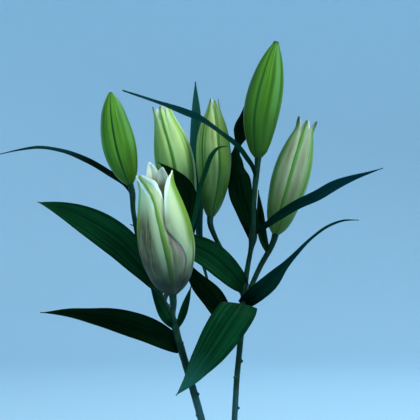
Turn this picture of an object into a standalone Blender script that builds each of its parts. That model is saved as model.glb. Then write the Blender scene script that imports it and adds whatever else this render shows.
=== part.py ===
"""Two cut lily stems with six buds, standing in a plain bottle vase that holds water.

Metres, +Z up. The origin is the middle of the vase's foot, and the front is towards -Y.

The places of stems, leaves and buds are millimetres as seen from in front: across from the vase's
axis, up from its foot, and depth behind that axis, negative towards the front. seen() turns them
into points in space.
"""

import math

import bmesh
import bpy
from mathutils import Matrix, Vector

MM = 0.001
GAP = 0.3 * MM
MERGE = 0.001 * MM
HEADING_STEP = 0.002

# The viewpoint that the places are seen from, in millimetres
VIEW_DISTANCE = 1400
VIEW_ACROSS = -8
VIEW_HEIGHT = 411

# Vase and water, in millimetres
VASE_HEIGHT = 210
VASE_FOOT_RADIUS = 37
VASE_BELLY_RADIUS = 64
VASE_WALL = 4.2
VASE_FLOOR = 8
VASE_FLOOR_CORNER = 2
VASE_SIDES = 28
VASE_RINGS = 12
# Radius as a share of the belly's, and height as a share of the vase's
VASE_BODY = [
    (0.66, 0.012), (0.84, 0.13), (0.98, 0.28), (1.0, 0.39), (0.9, 0.54), (0.68, 0.67), (0.46, 0.77),
]
# Radius in millimetres, and height as a share of the vase's
VASE_NECK = [(22.0, 0.87), (21.2, 0.93), (24.4, 0.985)]
WATER_LEVEL = 118

# Stems: roundness, and a point every so many millimetres
STALK_BEVEL_RESOLUTION = 2
STALK_POINT_SPACING = 11
PEDICEL_POINT_SPACING = 6
# The straight run under a bud, and its end's radius as a share of the bud's base
SEAT_RUN = 6 * MM
SEAT_SHARE = 0.92
# How far the water's holes run on below the stalks
HOLE_RUN = 4 * MM
SCAR_RADIUS = 1.5 * MM
SCAR_END_RADIUS = 1.05 * MM
SCAR_LENGTH = 5 * MM
SCAR_SHIFT = 2.25 * MM
SCAR_RISE = 0.35
SCAR_SIDES = 6

# Blades
LEAF_THICKNESS = 0.8 * MM
LEAF_COLUMNS = 4
LEAF_ROWS = 13
LEAF_BASE_SHARE = 0.05
LEAF_TAPER = 1.15
LEAF_TIP_HALF_WIDTH = 0.45 * MM
LEAF_ROOT = 1.4 * MM
# The folded leaf has turned fully at this share of its length
FOLD_END = 0.625

# Buds
BUD_SIDES = 24
BUD_RINGS = 13
BUD_TIP_RADIUS = 0.9 * MM
CORE_SIDES = 18
CORE_RINGS = 10
GROOVE_DEPTH = 0.07
GROOVE_WIDTH = 8
# The core between and at its ribs, as shares of the bud's outline, and the ribs' width in degrees
CORE_SHARE = 0.88
RIB_SHARE = 0.99
RIB_WIDTH = 13
CORE_REACH = 0.95
CORE_CLOSING = 9
TEPAL_THICKNESS = 2.2 * MM
TEPAL_INSET = 1
TEPAL_COLUMNS = 4
TEPAL_ROWS = 8
TEPAL_START = 0.04

# Each stalk from its cut end in the water to its top bud: across, up, depth, radius
STALKS = {
    "left": [
        (31.0, 7.9, -4.5, 3.4), (8.0, 114, -4.5, 3.4), (-16.1, 223.8, -4.5, 3.4), (-29.1, 269.7, -4, 3.4),
        (-37.4, 297.6, -4, 3.3), (-40.8, 311, -4, 3.4), (-49.4, 327.3, -4, 2.9), (-58.8, 344.4, -4, 2.7),
        (-70.1, 375, -4, 2.5), (-75.4, 400, -4, 2.3), (-77.2, 411, -4, 2.3),
    ],
    "right": [
        (-3.0, 10.0, 4.5, 2.8), (6.5, 110, 4.5, 2.8), (14.1, 223.8, 4.5, 2.8), (16.4, 262.5, 4, 2.7),
        (19.0, 289.5, 3.5, 2.7), (21.4, 325, 3, 2.9), (25.9, 359.7, 3, 2.4), (29.2, 377.7, 2.5, 2.5),
        (30.7, 386.7, 2, 3.5), (30.9, 396, 2, 2.5), (31.6, 418, 1, 2.4), (32.6, 433, 0, 2.4),
    ],
}

# Scars of stripped leaves: stalk, height, direction round the stalk in degrees from the front
SCARS = [
    ("left", 244.8, 80), ("left", 225.5, -80),
    ("right", 273.3, 85), ("right", 258.9, -40), ("right", 231, 85),
]

# Pedicels: bud, stalk, height where it leaves the stalk, and the way: across, up, depth, radius
PEDICELS = {
    "bud_back_left": ("left", 328, 2.2, [(-41.5, 353, 14, 2.2), (-33.0, 379, 24, 2.3)]),
    "bud_middle": ("right", 333, 2.2, [(11.8, 354.3, 13, 2.2), (3.1, 373.6, 14, 2.2), (-4.0, 388, 12, 2.3)]),
    "bud_right": ("right", 322, 2.4, [(27.7, 339, 6, 2.4), (37.0, 359.7, 10, 2.5)]),
    "bud_front": ("left", 309, 2.6, [(-41.4, 316, -14, 2.5)]),
}

# Buds. base and tip are across, up, depth. bow is how far the axis stands across of the line
# between them, at one third and at two thirds of it. outline is the half width, in millimetres,
# along the length from base to tip.
# turn is where the first groove (or inner petal's rib) lies, in degrees from the front.
BUDS = {
    "bud_left": dict(
        stalk="left", base=(-80, 434.4, -4), tip=(-97.5, 517, -8), bow=(-2.2, -2.2), turn=-9,
        opening=False,
        outline=[(0, 3.4), (0.045, 6.6), (0.1, 9.4), (0.2, 12.4), (0.32, 14.5), (0.44, 15.2), (0.58, 14.3),
                 (0.7, 12.4), (0.81, 10), (0.91, 6.3), (0.97, 3.2), (1, 1.4)],
    ),
    "bud_top_right": dict(
        stalk="right", base=(35.2, 458.2, 0), tip=(51.8, 562.8, -5), bow=(-3.2, -2), turn=-24,
        opening=False,
        outline=[(0, 3.5), (0.04, 7.0), (0.1, 9.9), (0.2, 13.1), (0.34, 15.8), (0.46, 16.5), (0.6, 15.6),
                 (0.7, 13.8), (0.8, 11), (0.9, 7), (0.97, 3.4), (1, 2)],
    ),
    "bud_back_left": dict(
        stalk="left", base=(-30.5, 400.2, 26), tip=(-52.2, 505.5, 30), bow=(1.2, 1.9), turn=-1, opening=True,
        outline=[(0, 3.5), (0.04, 6.7), (0.1, 9.9), (0.2, 13.7), (0.34, 16.6), (0.48, 17.7), (0.6, 17),
                 (0.7, 15), (0.79, 12.3), (0.87, 9.9), (0.95, 8), (1, 7.4)],
    ),
    "bud_middle": dict(
        stalk="right", base=(-7.5, 405.6, 10), tip=(-4.8, 510.9, 12), bow=(1.8, 0.3), turn=22, opening=True,
        outline=[(0, 3.6), (0.04, 6.1), (0.1, 8.8), (0.2, 11.9), (0.32, 14.2), (0.46, 15.8), (0.6, 15.3),
                 (0.72, 13.3), (0.8, 10.7), (0.88, 7.1), (0.95, 4.8), (1, 3.5)],
    ),
    "bud_right": dict(
        stalk="right", base=(51, 389.6, 14), tip=(80, 492.5, 18), bow=(-0.7, -0.6), turn=-4, opening=True,
        outline=[(0, 3.6), (0.04, 7.2), (0.12, 11.2), (0.2, 13.4), (0.3, 15.2), (0.42, 16.7), (0.54, 16.8),
                 (0.64, 15.8), (0.73, 13.9), (0.82, 11.4), (0.9, 8.9), (1, 9.2)],
    ),
    "bud_front": dict(
        stalk="left", base=(-41.7, 335, -30), tip=(-58.2, 445.2, -50), bow=(1.0, 1.1), turn=0, opening=True,
        outline=[(0, 4.2), (0.04, 10), (0.1, 15.7), (0.2, 20.7), (0.32, 24.2), (0.43, 25.3), (0.56, 24.3),
                 (0.7, 21.2), (0.8, 18.3), (0.9, 15.9), (1, 15.6)],
    ),
}

# A tepal's half angle round the bud, in degrees, along its length
TEPAL_SPAN = [(0, 50), (0.6, 51), (0.75, 45), (0.88, 34), (0.96, 18), (1, 5)]
# The front bud's own tepals (left, right and back outer, then front, left and right inner): the way
# round of both edges along the length, how far the tip reaches as a share of the bud's length, and
# how far the blade lies inside the outline in millimetres
FRONT_TEPALS = [
    dict(reach=0.995, inset=0, edges=[
        (0, -118, 2), (0.12, -125, 0), (0.34, -140, -4), (0.59, -135, -10), (0.735, -126, -14.5),
        (0.835, -120, -22), (0.885, -112, -34), (0.94, -105, -48), (1, -92, -66)]),
    dict(reach=0.991, inset=0, edges=[
        (0, 35, 125), (0.15, 40, 131), (0.305, 47, 138), (0.41, 36, 140), (0.51, 18, 139.5),
        (0.59, 6, 138), (0.673, 7, 135), (0.815, 17, 128), (0.915, 32, 118), (0.965, 48, 105), (1, 82, 90)]),
    dict(reach=0.98, inset=0, edges=[
        (0, 130, 230), (0.5, 136, 224), (0.8, 146, 214), (1, 176, 184)]),
    dict(reach=1.003, inset=1.6, edges=[
        (0, -36, 58), (0.19, -42, 52), (0.385, -49, 50), (0.53, -52, 46), (0.673, -50, 33),
        (0.8, -42, 14), (0.85, -53, 12.5), (0.89, -64, 7.5), (0.93, -76, 3.5), (0.955, -83, -6),
        (0.98, -86, -26), (1, -80, -42)]),
    dict(reach=1.065, inset=2.6, edges=[
        (0, -165, -85), (0.6, -175, -92), (0.86, -196, -135), (0.92, -192, -147), (0.97, -180, -157),
        (1, -169, -163)]),
    dict(reach=1.01, inset=2.6, edges=[
        (0, 85, 165), (0.7, 92, 170), (0.88, 118, 178), (0.94, 128, 175), (0.975, 136, 168),
        (1, 143, 149)]),
]

# Leaves. height is where the blade leaves its stalk (or pedicel), path its middle from there on:
# across, up, depth. width in millimetres, widest as a share of the length, turn the blade's turn
# away from the front along its length in degrees, cup how far the edges rise for their half width.
LEAVES = {
    "leaf_left_high": dict(
        stalk="left", height=424, width=12, widest=0.4, cup=0.25, turn=[(0, 50), (0.3, 66), (1, 70)],
        path=[(-84, 433.2, 2), (-102.5, 445.2, 7), (-120.5, 455.1, 8), (-141.2, 463.6, 8),
              (-161, 466.8, 6), (-179, 465, 4), (-201, 460.5, 1)],
    ),
    "leaf_left_broad": dict(
        stalk="left", height=340, width=29.5, widest=0.47, cup=0.16, turn=[(0, 10), (0.4, 0), (1, 12)],
        path=[(-65.6, 355.1, -11), (-73.8, 365.6, -13), (-87.1, 380, -13), (-102.5, 391.8, -12),
              (-119.3, 401.6, -9), (-137.2, 409.9, -5), (-149.9, 414.4, -2), (-163.2, 418.2, 1)],
    ),
    "leaf_left_low": dict(
        stalk="left", height=287, width=23, widest=0.34, cup=0.2,
        turn=[(0, 0), (0.35, 6), (0.7, 35), (1, 40)],
        path=[(-50.1, 296.4, -3), (-61.5, 302.2, -3), (-79.4, 308.2, -3), (-97.7, 312.6, -2),
              (-116.4, 315.3, 0), (-135, 318.2, 2), (-160.7, 318.7, 6)],
    ),
    "leaf_front_folded": dict(
        stalk="right", height=318, width=34, widest=0.42, cup=0.1, across=((1, 0, 0), (0.82, 0, -0.57)),
        path=[(21.2, 325.0, -12), (20.2, 326.0, -23), (17.2, 321.5, -32), (11, 312.5, -37),
              (0.7, 296.8, -40), (-7.6, 284.1, -41), (-16.6, 271.7, -41), (-25.2, 259.2, -40),
              (-38.7, 243.9, -38)],
    ),
    "leaf_centre_broad": dict(
        stalk="right", height=340, width=25, widest=0.37, cup=0.2,
        turn=[(0, 0), (0.35, 6), (0.7, 28), (1, 35)],
        path=[(13.4, 350.8, -3), (4.9, 359.4, 1), (-9.1, 370.9, 5), (-24.8, 378.4, 9),
              (-41.3, 384.3, 10), (-57.9, 390.2, 10), (-68.9, 394.1, 9), (-80, 398, 8)],
    ),
    "leaf_centre_dark": dict(
        stalk="right", height=303, width=21, widest=0.5, cup=0.18, turn=[(0, 20), (1, 10)],
        path=[(6.4, 313.8, 10), (-7.1, 333.6, 18), (-18.8, 346.2, 20), (-31, 366, 20)],
    ),
    "leaf_behind_front_bud": dict(
        stalk="left", height=334, width=21, widest=0.55, cup=0.18, turn=[(0, 10), (1, 0)],
        path=[(-43, 352, 4), (-34, 382, 1), (-30, 406.5, 0), (-28.3, 420, 0), (-31.8, 432.5, 1),
              (-41, 443.5, 3), (-54.8, 454.2, 4)],
    ),
    "leaf_arched_thin": dict(
        stalk="left", height=322, width=8.2, widest=0.7, cup=0.2,
        turn=[(0, 46), (0.6, 58), (0.82, 50), (1, 15)],
        path=[(-38.6, 338, -7), (-32.4, 356, -10), (-25.6, 392, -15), (-19.9, 416.8, -18),
              (-17.4, 431.2, -19), (-12.5, 446.1, -20), (-6.6, 460.5, -20), (-0.8, 466.8, -20),
              (7.9, 468.6, -20)],
    ),
    "leaf_long_crossing": dict(
        stalk="right", height=438, width=10.5, widest=0.5, cup=0.2,
        turn=[(0, 30), (0.13, 36), (0.22, 54), (0.3, 65), (0.47, 65), (0.56, 52), (0.7, 52), (1, 60)],
        path=[(29.8, 450.5, -10), (24.5, 458, -17), (15.1, 469.8, -20), (0.7, 480.7, -21),
              (-18.6, 493.2, -20), (-30.5, 498.5, -18.5), (-42.7, 503.3, -17), (-53, 507, -16),
              (-66.8, 511.8, -15), (-86.8, 518.5, -13)],
    ),
    "leaf_back_upright": dict(
        stalk="right", height=298, width=14, widest=0.75, cup=0.18, turn=[(0, 20), (1, 28)],
        path=[(8, 312, 20), (-5, 334, 36), (-13.5, 360, 46), (-17.5, 386, 51), (-19, 420, 53),
              (-20.4, 465, 54), (-20.9, 500, 52), (-21.2, 526.5, 48)],
    ),
    "bract_left": dict(
        clears="bud_front", stalk="left", height=304.5, width=9, widest=0.4, cup=0.3,
        turn=[(0, 25), (1, 30)],
        path=[(-48.5, 314.5, -9), (-55.5, 328.5, -12), (-62.5, 344.9, -14)],
    ),
    "bract_centre": dict(
        clears="bud_front", stalk="left", height=303, width=8, widest=0.45, cup=0.3,
        turn=[(0, -25), (1, -30)],
        path=[(-33.0, 315, -6), (-28.5, 329, -10), (-25, 342.1, -14)],
    ),
    "leaf_right_high": dict(
        stalk="right", height=388, width=13, widest=0.5, cup=0.22, turn=[(0, 35), (1, 50)],
        path=[(43.3, 398.3, -6), (53.7, 406.3, -9), (70.1, 416.7, -11), (87.6, 424.8, -11),
              (104.5, 434.1, -10), (122.6, 441.2, -8), (135.1, 444.9, -6), (147.7, 448.6, -4)],
    ),
    "leaf_right_low": dict(
        clears="bud_right", stalk="right", height=326, width=17, widest=0.28, cup=0.22,
        turn=[(0, 15), (0.22, 20), (0.4, 62), (0.6, 74), (1, 70)],
        path=[(34.5, 336.8, -7), (43.9, 345.1, -8), (56.1, 360.1, -8), (69.5, 373.5, -8),
              (83.4, 386.2, -8), (98.6, 397.2, -7), (110.8, 401.7, -6), (126.1, 401.9, -5)],
    ),
    "leaf_right_dark": dict(
        stalk="right", height=384, width=22, widest=0.42, cup=0.18,
        turn=[(0, 0), (0.36, 4), (0.42, 18), (0.5, 50), (0.56, 56), (0.62, 72), (0.66, 70), (0.72, 30),
              (0.755, 0), (0.82, 0), (1, 20)],
        path=[(28.2, 398.3, 12), (24.5, 412, 17), (20, 425, 21), (17.6, 438, 27), (14.6, 451.5, 32),
              (14, 463, 34), (15.7, 469.5, 34), (18.8, 478, 33), (20.3, 487, 32), (23, 495, 31),
              (25.8, 507.3, 30), (28.2, 518, 29)],
    ),
    "bract_right": dict(
        pedicel="bud_right", height=372, width=8.5, widest=0.4, cup=0.3, turn=[(0, 10), (1, 10)],
        path=[(39.5, 386, 19), (37, 409, 23), (35.4, 429, 25)],
    ),
}

# Colour, roughness
LEAF_GREEN = ((0.018, 0.085, 0.04, 1), 0.42)
DARK_LEAF_GREEN = ((0.01, 0.05, 0.03, 1), 0.45)
STEM_GREEN = ((0.035, 0.12, 0.06, 1), 0.5)
CLOSED_BUD_GREEN = ((0.13, 0.33, 0.07, 1), 0.45)
OPENING_BUD_GREEN = ((0.38, 0.5, 0.24, 1), 0.5)
GLAZE = ((0.62, 0.66, 0.68, 1), 0.35)
WATER_BLUE = ((0.7, 0.8, 0.84, 1), 0.05)


class Smooth:
    """A smooth curve through values (numbers or points) that stand at rising knots."""

    def __init__(self, knots, values):
        self.knots = knots
        self.values = values
        steps = [b - a for a, b in zip(knots, knots[1:])]
        slopes = [(b - a) / step for a, b, step in zip(values, values[1:], steps)]
        self.tangents = [slopes[0]]
        for before, after, d0, d1 in zip(slopes, slopes[1:], steps, steps[1:]):
            self.tangents.append((before * d1 + after * d0) / (d0 + d1))
        self.tangents.append(slopes[-1])

    def at(self, knot):
        knot = min(max(knot, self.knots[0]), self.knots[-1])
        i = 0
        while i < len(self.knots) - 2 and knot > self.knots[i + 1]:
            i += 1
        step = self.knots[i + 1] - self.knots[i]
        u = (knot - self.knots[i]) / step
        start, end = self.values[i], self.values[i + 1]
        leave, arrive = self.tangents[i] * step, self.tangents[i + 1] * step
        return (
            start * (2 * u**3 - 3 * u**2 + 1)
            + leave * (u**3 - 2 * u**2 + u)
            + end * (3 * u**2 - 2 * u**3)
            + arrive * (u**3 - u**2)
        )


class Route:
    """A smooth way through points. Its places are shares of its length, from 0 to 1."""

    def __init__(self, points, radii=None):
        self.points = points
        knots = [0.0]
        for a, b in zip(points, points[1:]):
            knots.append(knots[-1] + (b - a).length)
        self.length = knots[-1]
        self.curve = Smooth(knots, points)
        self.thickness = Smooth(knots, radii) if radii else None

    def at(self, share):
        return self.curve.at(share * self.length)

    def radius(self, share):
        return self.thickness.at(share * self.length)

    def heading(self, share):
        ahead, behind = min(share + HEADING_STEP, 1), max(share - HEADING_STEP, 0)
        return (self.at(ahead) - self.at(behind)).normalized()

    def at_height(self, height):
        """The point of a rising way at a height, found by halving."""
        low, high = 0.0, 1.0
        for _ in range(30):
            middle = (low + high) / 2
            if self.at(middle).z < height:
                low = middle
            else:
                high = middle
        return self.at(low)


def seen(across, up, depth):
    """The point that the front view shows at across and up, as far back as depth."""
    grow = (VIEW_DISTANCE + depth) / VIEW_DISTANCE
    x = VIEW_ACROSS + (across - VIEW_ACROSS) * grow
    z = VIEW_HEIGHT + (up - VIEW_HEIGHT) * grow
    return MM * Vector((x, depth, z))


def table(pairs):
    """A smooth curve through a list of (knot, value)."""
    return Smooth([knot for knot, _ in pairs], [value for _, value in pairs])


def material(name, finish):
    colour, roughness = finish
    made = bpy.data.materials.new(name)
    made.use_nodes = True
    surface = made.node_tree.nodes["Principled BSDF"]
    surface.inputs["Base Color"].default_value = colour
    surface.inputs["Roughness"].default_value = roughness
    surface.inputs["Metallic"].default_value = 0.0
    made.diffuse_color = colour
    return made


def add_object(name, shape, finish=None):
    """An object for a bmesh, in the scene."""
    bmesh.ops.recalc_face_normals(shape, faces=shape.faces)
    mesh = bpy.data.meshes.new(name)
    shape.to_mesh(mesh)
    shape.free()
    mesh.shade_smooth()
    made = bpy.data.objects.new(name, mesh)
    bpy.context.scene.collection.objects.link(made)
    if finish:
        mesh.materials.append(material(name, finish))
    return made


def as_guide(cutter):
    cutter.hide_render = True
    cutter.display_type = "WIRE"
    return cutter


def cut_by(solid, cutter):
    """Leaves room for the cutter in the solid."""
    cut = solid.modifiers.new("room_for_" + cutter.name, "BOOLEAN")
    cut.operation = "DIFFERENCE"
    cut.solver = "EXACT"
    cut.object = cutter


def keep_outer_skin(mesh):
    """Fills the hollows that fusing seals, and drops loose scraps: only the largest skin stays."""
    shape = bmesh.new()
    shape.from_mesh(mesh)
    waiting = set(shape.faces)
    skins = []
    while waiting:
        front = [waiting.pop()]
        skin = list(front)
        while front:
            face = front.pop()
            for edge in face.edges:
                for other in edge.link_faces:
                    if other in waiting:
                        waiting.discard(other)
                        front.append(other)
                        skin.append(other)
        skins.append(skin)
    largest = max(skins, key=lambda skin: sum(face.calc_area() for face in skin))
    scraps = [face for skin in skins if skin is not largest for face in skin]
    bmesh.ops.delete(shape, geom=scraps, context="FACES")
    shape.to_mesh(mesh)
    shape.free()


def fuse(name, pieces, finish):
    """One closed solid from overlapping pieces, which are removed."""
    group = bpy.data.collections.new(name + "_pieces")
    bpy.context.scene.collection.children.link(group)
    first, others = pieces[0], pieces[1:]
    for other in others:
        group.objects.link(other)
    union = first.modifiers.new("union", "BOOLEAN")
    union.operation = "UNION"
    union.solver = "EXACT"
    union.operand_type = "COLLECTION"
    union.collection = group
    evaluated = first.evaluated_get(bpy.context.evaluated_depsgraph_get())
    mesh = bpy.data.meshes.new_from_object(evaluated)
    mesh.name = name
    for piece in pieces:
        bpy.data.objects.remove(piece)
    bpy.data.collections.remove(group)
    keep_outer_skin(mesh)
    mesh.materials.clear()
    mesh.materials.append(material(name, finish))
    mesh.shade_smooth()
    made = bpy.data.objects.new(name, mesh)
    bpy.context.scene.collection.objects.link(made)
    return made


def tube(name, route, spacing, extra=0.0):
    """A closed round mesh along a route, with its radius, and extra added to it.

    Its last stretch is straight, so that its end is square to the seat.
    """
    count = max(3, round((route.length - SEAT_RUN) / (spacing * MM)) + 1)
    shares = [i / (count - 1) * (1 - SEAT_RUN / route.length) for i in range(count)] + [1.0]
    curve = bpy.data.curves.new(name, "CURVE")
    curve.dimensions = "3D"
    curve.bevel_depth = MM
    curve.bevel_resolution = STALK_BEVEL_RESOLUTION
    curve.use_fill_caps = True
    spline = curve.splines.new("POLY")
    spline.points.add(len(shares) - 1)
    for share, point in zip(shares, spline.points):
        point.co = (*route.at(share), 1)
        point.radius = (route.radius(share) + extra) / MM
    guide = bpy.data.objects.new(name, curve)
    bpy.context.scene.collection.objects.link(guide)
    evaluated = guide.evaluated_get(bpy.context.evaluated_depsgraph_get())
    mesh = bpy.data.meshes.new_from_object(evaluated)
    bpy.data.objects.remove(guide)
    shape = bmesh.new()
    shape.from_mesh(mesh)
    bmesh.ops.remove_doubles(shape, verts=shape.verts, dist=MERGE)
    return add_object(name, shape)


def vase_outside():
    """The vase's outer profile from foot to lip, as points (radius, 0, height) in metres."""
    body = [Vector((r * VASE_BELLY_RADIUS, 0, z * VASE_HEIGHT)) for r, z in VASE_BODY]
    neck = [Vector((r, 0, z * VASE_HEIGHT)) for r, z in VASE_NECK]
    return Route([point * MM for point in body + neck])


def vase_inside(clearance):
    """The inner profile from lip to floor, a wall's thickness in from the outer one."""
    outside = vase_outside()
    floor = VASE_FLOOR * MM + clearance
    points = []
    for i in range(VASE_RINGS, -1, -1):
        share = i / VASE_RINGS
        along = outside.heading(share)
        inward = Vector((-along.z, 0, along.x))
        point = outside.at(share) + inward * (VASE_WALL * MM + clearance)
        if point.z > floor:
            points.append(point)
    points.append(Vector((points[-1].x - VASE_FLOOR_CORNER * MM, 0, floor)))
    return points


def turned(name, profile, finish):
    """A closed solid from a profile that starts and ends on the axis."""
    shape = bmesh.new()
    ring = [shape.verts.new(point) for point in profile]
    edges = [shape.edges.new(pair) for pair in zip(ring, ring[1:])]
    bmesh.ops.spin(
        shape, geom=ring + edges, cent=(0, 0, 0), axis=(0, 0, 1), angle=2 * math.pi, steps=VASE_SIDES,
        use_merge=True,
    )
    bmesh.ops.remove_doubles(shape, verts=shape.verts, dist=MERGE)
    return add_object(name, shape, finish)


def build_vase():
    outside = vase_outside()
    outer = [outside.at(i / VASE_RINGS) for i in range(VASE_RINGS + 1)]
    inner = vase_inside(0)
    rim = (outer[-1] + inner[0]) / 2
    rim.z = VASE_HEIGHT * MM
    foot = Vector((VASE_FOOT_RADIUS * MM, 0, 0))
    profile = [Vector((0, 0, 0)), foot, *outer, rim, *inner, Vector((0, 0, inner[-1].z))]
    return turned("vase", profile, GLAZE)


def build_water(sheaths):
    """Water that fills the belly to its level, with a plain hole for each stalk."""
    level = WATER_LEVEL * MM
    wall = vase_inside(GAP)
    below = [point for point in wall if point.z < level]
    over = wall[wall.index(below[0]) - 1]
    top = below[0].lerp(over, (level - below[0].z) / (over.z - below[0].z))
    profile = [Vector((0, 0, below[-1].z)), *reversed(below), top, Vector((0, 0, level))]
    water = turned("water", profile, WATER_BLUE)
    for sheath in sheaths:
        cut_by(water, sheath)
    return water


def scar(stalk_route, height, angle):
    """A short stub where a leaf was stripped, sunk in the stalk."""
    at = stalk_route.at_height(height * MM)
    angle = math.radians(angle)
    outward = Vector((math.sin(angle), -math.cos(angle), SCAR_RISE)).normalized()
    shape = bmesh.new()
    bmesh.ops.create_cone(
        shape, cap_ends=True, segments=SCAR_SIDES, radius1=SCAR_RADIUS, radius2=SCAR_END_RADIUS,
        depth=SCAR_LENGTH,
    )
    turn = outward.to_track_quat("Z", "Y").to_matrix().to_4x4()
    place = Matrix.Translation(at + outward * SCAR_SHIFT) @ turn
    bmesh.ops.transform(shape, matrix=place, verts=shape.verts)
    return add_object("scar", shape)


def bud_axis(bud):
    base, tip = seen(*bud["base"]), seen(*bud["tip"])
    along = (tip - base).normalized()
    side = along.cross(Vector((0, 1, 0))).normalized()
    low, high = bud["bow"]
    thirds = [base.lerp(tip, 1 / 3) - side * low * MM, base.lerp(tip, 2 / 3) - side * high * MM]
    return Route([base] + thirds + [tip])


def bud_size(bud):
    """How much nearer or further than the vase's axis the bud is, as a scale."""
    return (VIEW_DISTANCE + bud["base"][2]) / VIEW_DISTANCE * MM


def stalk_route(name):
    rows = STALKS[name]
    bud = next(b for key, b in BUDS.items() if key not in PEDICELS and b["stalk"] == name)
    points = [seen(*row[:3]) for row in rows] + seat_of(bud)
    end = bud["outline"][0][1] * bud_size(bud) * SEAT_SHARE
    radii = [row[3] * MM for row in rows] + [(rows[-1][3] * MM + end) / 2, end]
    return Route(points, radii)


def seat_of(bud):
    """The last two points of the pedicel, square to the bud's flat base and a gap below it."""
    axis = bud_axis(bud)
    end = axis.at(0) - axis.heading(0) * GAP
    return [end - axis.heading(0) * SEAT_RUN, end]


def pedicel_route(name, stalks):
    stalk, height, first_radius, rows = PEDICELS[name]
    bud = BUDS[name]
    points = [stalks[stalk].at_height(height * MM)] + [seen(*row[:3]) for row in rows] + seat_of(bud)
    end = bud["outline"][0][1] * bud_size(bud) * SEAT_SHARE
    radii = [first_radius * MM] + [row[3] * MM for row in rows] + [(rows[-1][3] * MM + end) / 2, end]
    return Route(points, radii)


def build_stem(side, stalk, pedicels):
    """One stalk with its pedicels and leaf scars, grown as one piece."""
    pieces = [tube("stalk", stalk, STALK_POINT_SPACING)]
    pieces += [tube("pedicel", route, PEDICEL_POINT_SPACING) for route in pedicels]
    pieces += [scar(stalk, height, angle) for which, height, angle in SCARS if which == side]
    return fuse("stem_" + side, pieces, STEM_GREEN)


def blade_share(share, widest):
    """A lance-shaped blade's width at a share of its length, as a share of its widest."""
    root = LEAF_TAPER * widest / (1 - widest)
    here = (share + LEAF_BASE_SHARE) / (1 + LEAF_BASE_SHARE)
    top = widest**root * (1 - widest) ** LEAF_TAPER
    return here**root * (1 - here) ** LEAF_TAPER / top


def blade_frame(leaf, route, share):
    """The directions across the blade and out of its upper face."""
    along = route.heading(share)
    if "across" in leaf:
        start, end = (Vector(v) for v in leaf["across"])
        hint = start.lerp(end, min(1, share / FOLD_END))
        across = (hint - along * hint.dot(along)).normalized()
        return across, across.cross(along)
    front = Vector((0, -1, 0))
    facing = (front - along * front.dot(along)).normalized()
    turn = Matrix.Rotation(math.radians(table(leaf["turn"]).at(share)), 3, along)
    facing = turn @ facing
    return along.cross(facing), facing


def build_leaf(name, leaf, start, nearby):
    """A lance-shaped blade, cupped along its middle, whose base ends a gap from its stalk."""
    path = [seen(*point) for point in leaf["path"]]
    root = start + (path[0] - start).normalized() * LEAF_ROOT
    route = Route([root] + path)
    shape = bmesh.new()
    bmesh.ops.create_grid(shape, x_segments=LEAF_COLUMNS, y_segments=LEAF_ROWS, size=1)
    for vert in shape.verts:
        side, share = vert.co.x, (vert.co.y + 1) / 2
        half = max(leaf["width"] / 2 * MM * blade_share(share, leaf["widest"]), LEAF_TIP_HALF_WIDTH)
        across, facing = blade_frame(leaf, route, share)
        vert.co = route.at(share) + across * side * half + facing * leaf["cup"] * half * side**2
    bmesh.ops.triangulate(shape, faces=shape.faces)
    blade = add_object(name, shape, DARK_LEAF_GREEN if name.endswith("dark") else LEAF_GREEN)
    solid = blade.modifiers.new("thickness", "SOLIDIFY")
    solid.thickness = LEAF_THICKNESS
    solid.offset = 0
    for sheath in nearby:
        cut_by(blade, sheath)
    return blade


def round_the_bud(axis, share, angle):
    """The direction out from a bud's axis at an angle from the front, in radians."""
    along = axis.heading(share)
    front = Vector((0, -1, 0))
    front = (front - along * front.dot(along)).normalized()
    right = along.cross(front)
    return front * math.cos(angle) + right * math.sin(angle)


def from_nearest_groove(angle, turn):
    """Degrees from the nearest groove or inner rib, which lie every 120 degrees from turn."""
    return abs((math.degrees(angle) - turn + 60) % 120 - 60)


def spun_bud(name, bud, sides, rings, reach, radius_at, finish=None):
    """A closed body round a bud's axis. radius_at(share, angle) is its radius in metres."""
    axis = bud_axis(bud)
    shape = bmesh.new()
    start = math.radians(bud["turn"])
    ring = [shape.verts.new((0, 0, 0))]
    ring += [shape.verts.new((1, 0, i / rings)) for i in range(rings + 1)]
    ring.append(shape.verts.new((0, 0, 1)))
    edges = [shape.edges.new(pair) for pair in zip(ring, ring[1:])]
    bmesh.ops.spin(
        shape, geom=ring + edges, cent=(0, 0, 0), axis=(0, 0, 1), angle=2 * math.pi, steps=sides,
        use_merge=True,
    )
    bmesh.ops.remove_doubles(shape, verts=shape.verts, dist=MERGE)
    for vert in shape.verts:
        out = math.hypot(vert.co.x, vert.co.y)
        angle = math.atan2(vert.co.y, vert.co.x) + start
        rise = vert.co.z
        share = reach * (1 - math.cos(math.pi * rise)) / 2
        radius = radius_at(share, angle) if out > 0.5 else 0
        vert.co = axis.at(share) + round_the_bud(axis, share, angle) * radius
    return add_object(name, shape, finish)


def build_closed_bud(name, bud):
    """A closed bud: one body with a groove where each pair of outer tepals meets."""
    outline, size = table(bud["outline"]), bud_size(bud)

    def radius_at(share, angle):
        groove = math.exp(-((from_nearest_groove(angle, bud["turn"]) / GROOVE_WIDTH) ** 2))
        fade = math.sin(math.pi * min(max(share, 0), 1)) ** 0.5
        return outline.at(share) * size * (1 - GROOVE_DEPTH * groove * fade)

    return spun_bud(name, bud, BUD_SIDES, BUD_RINGS, 1.0, radius_at, CLOSED_BUD_GREEN)


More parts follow.
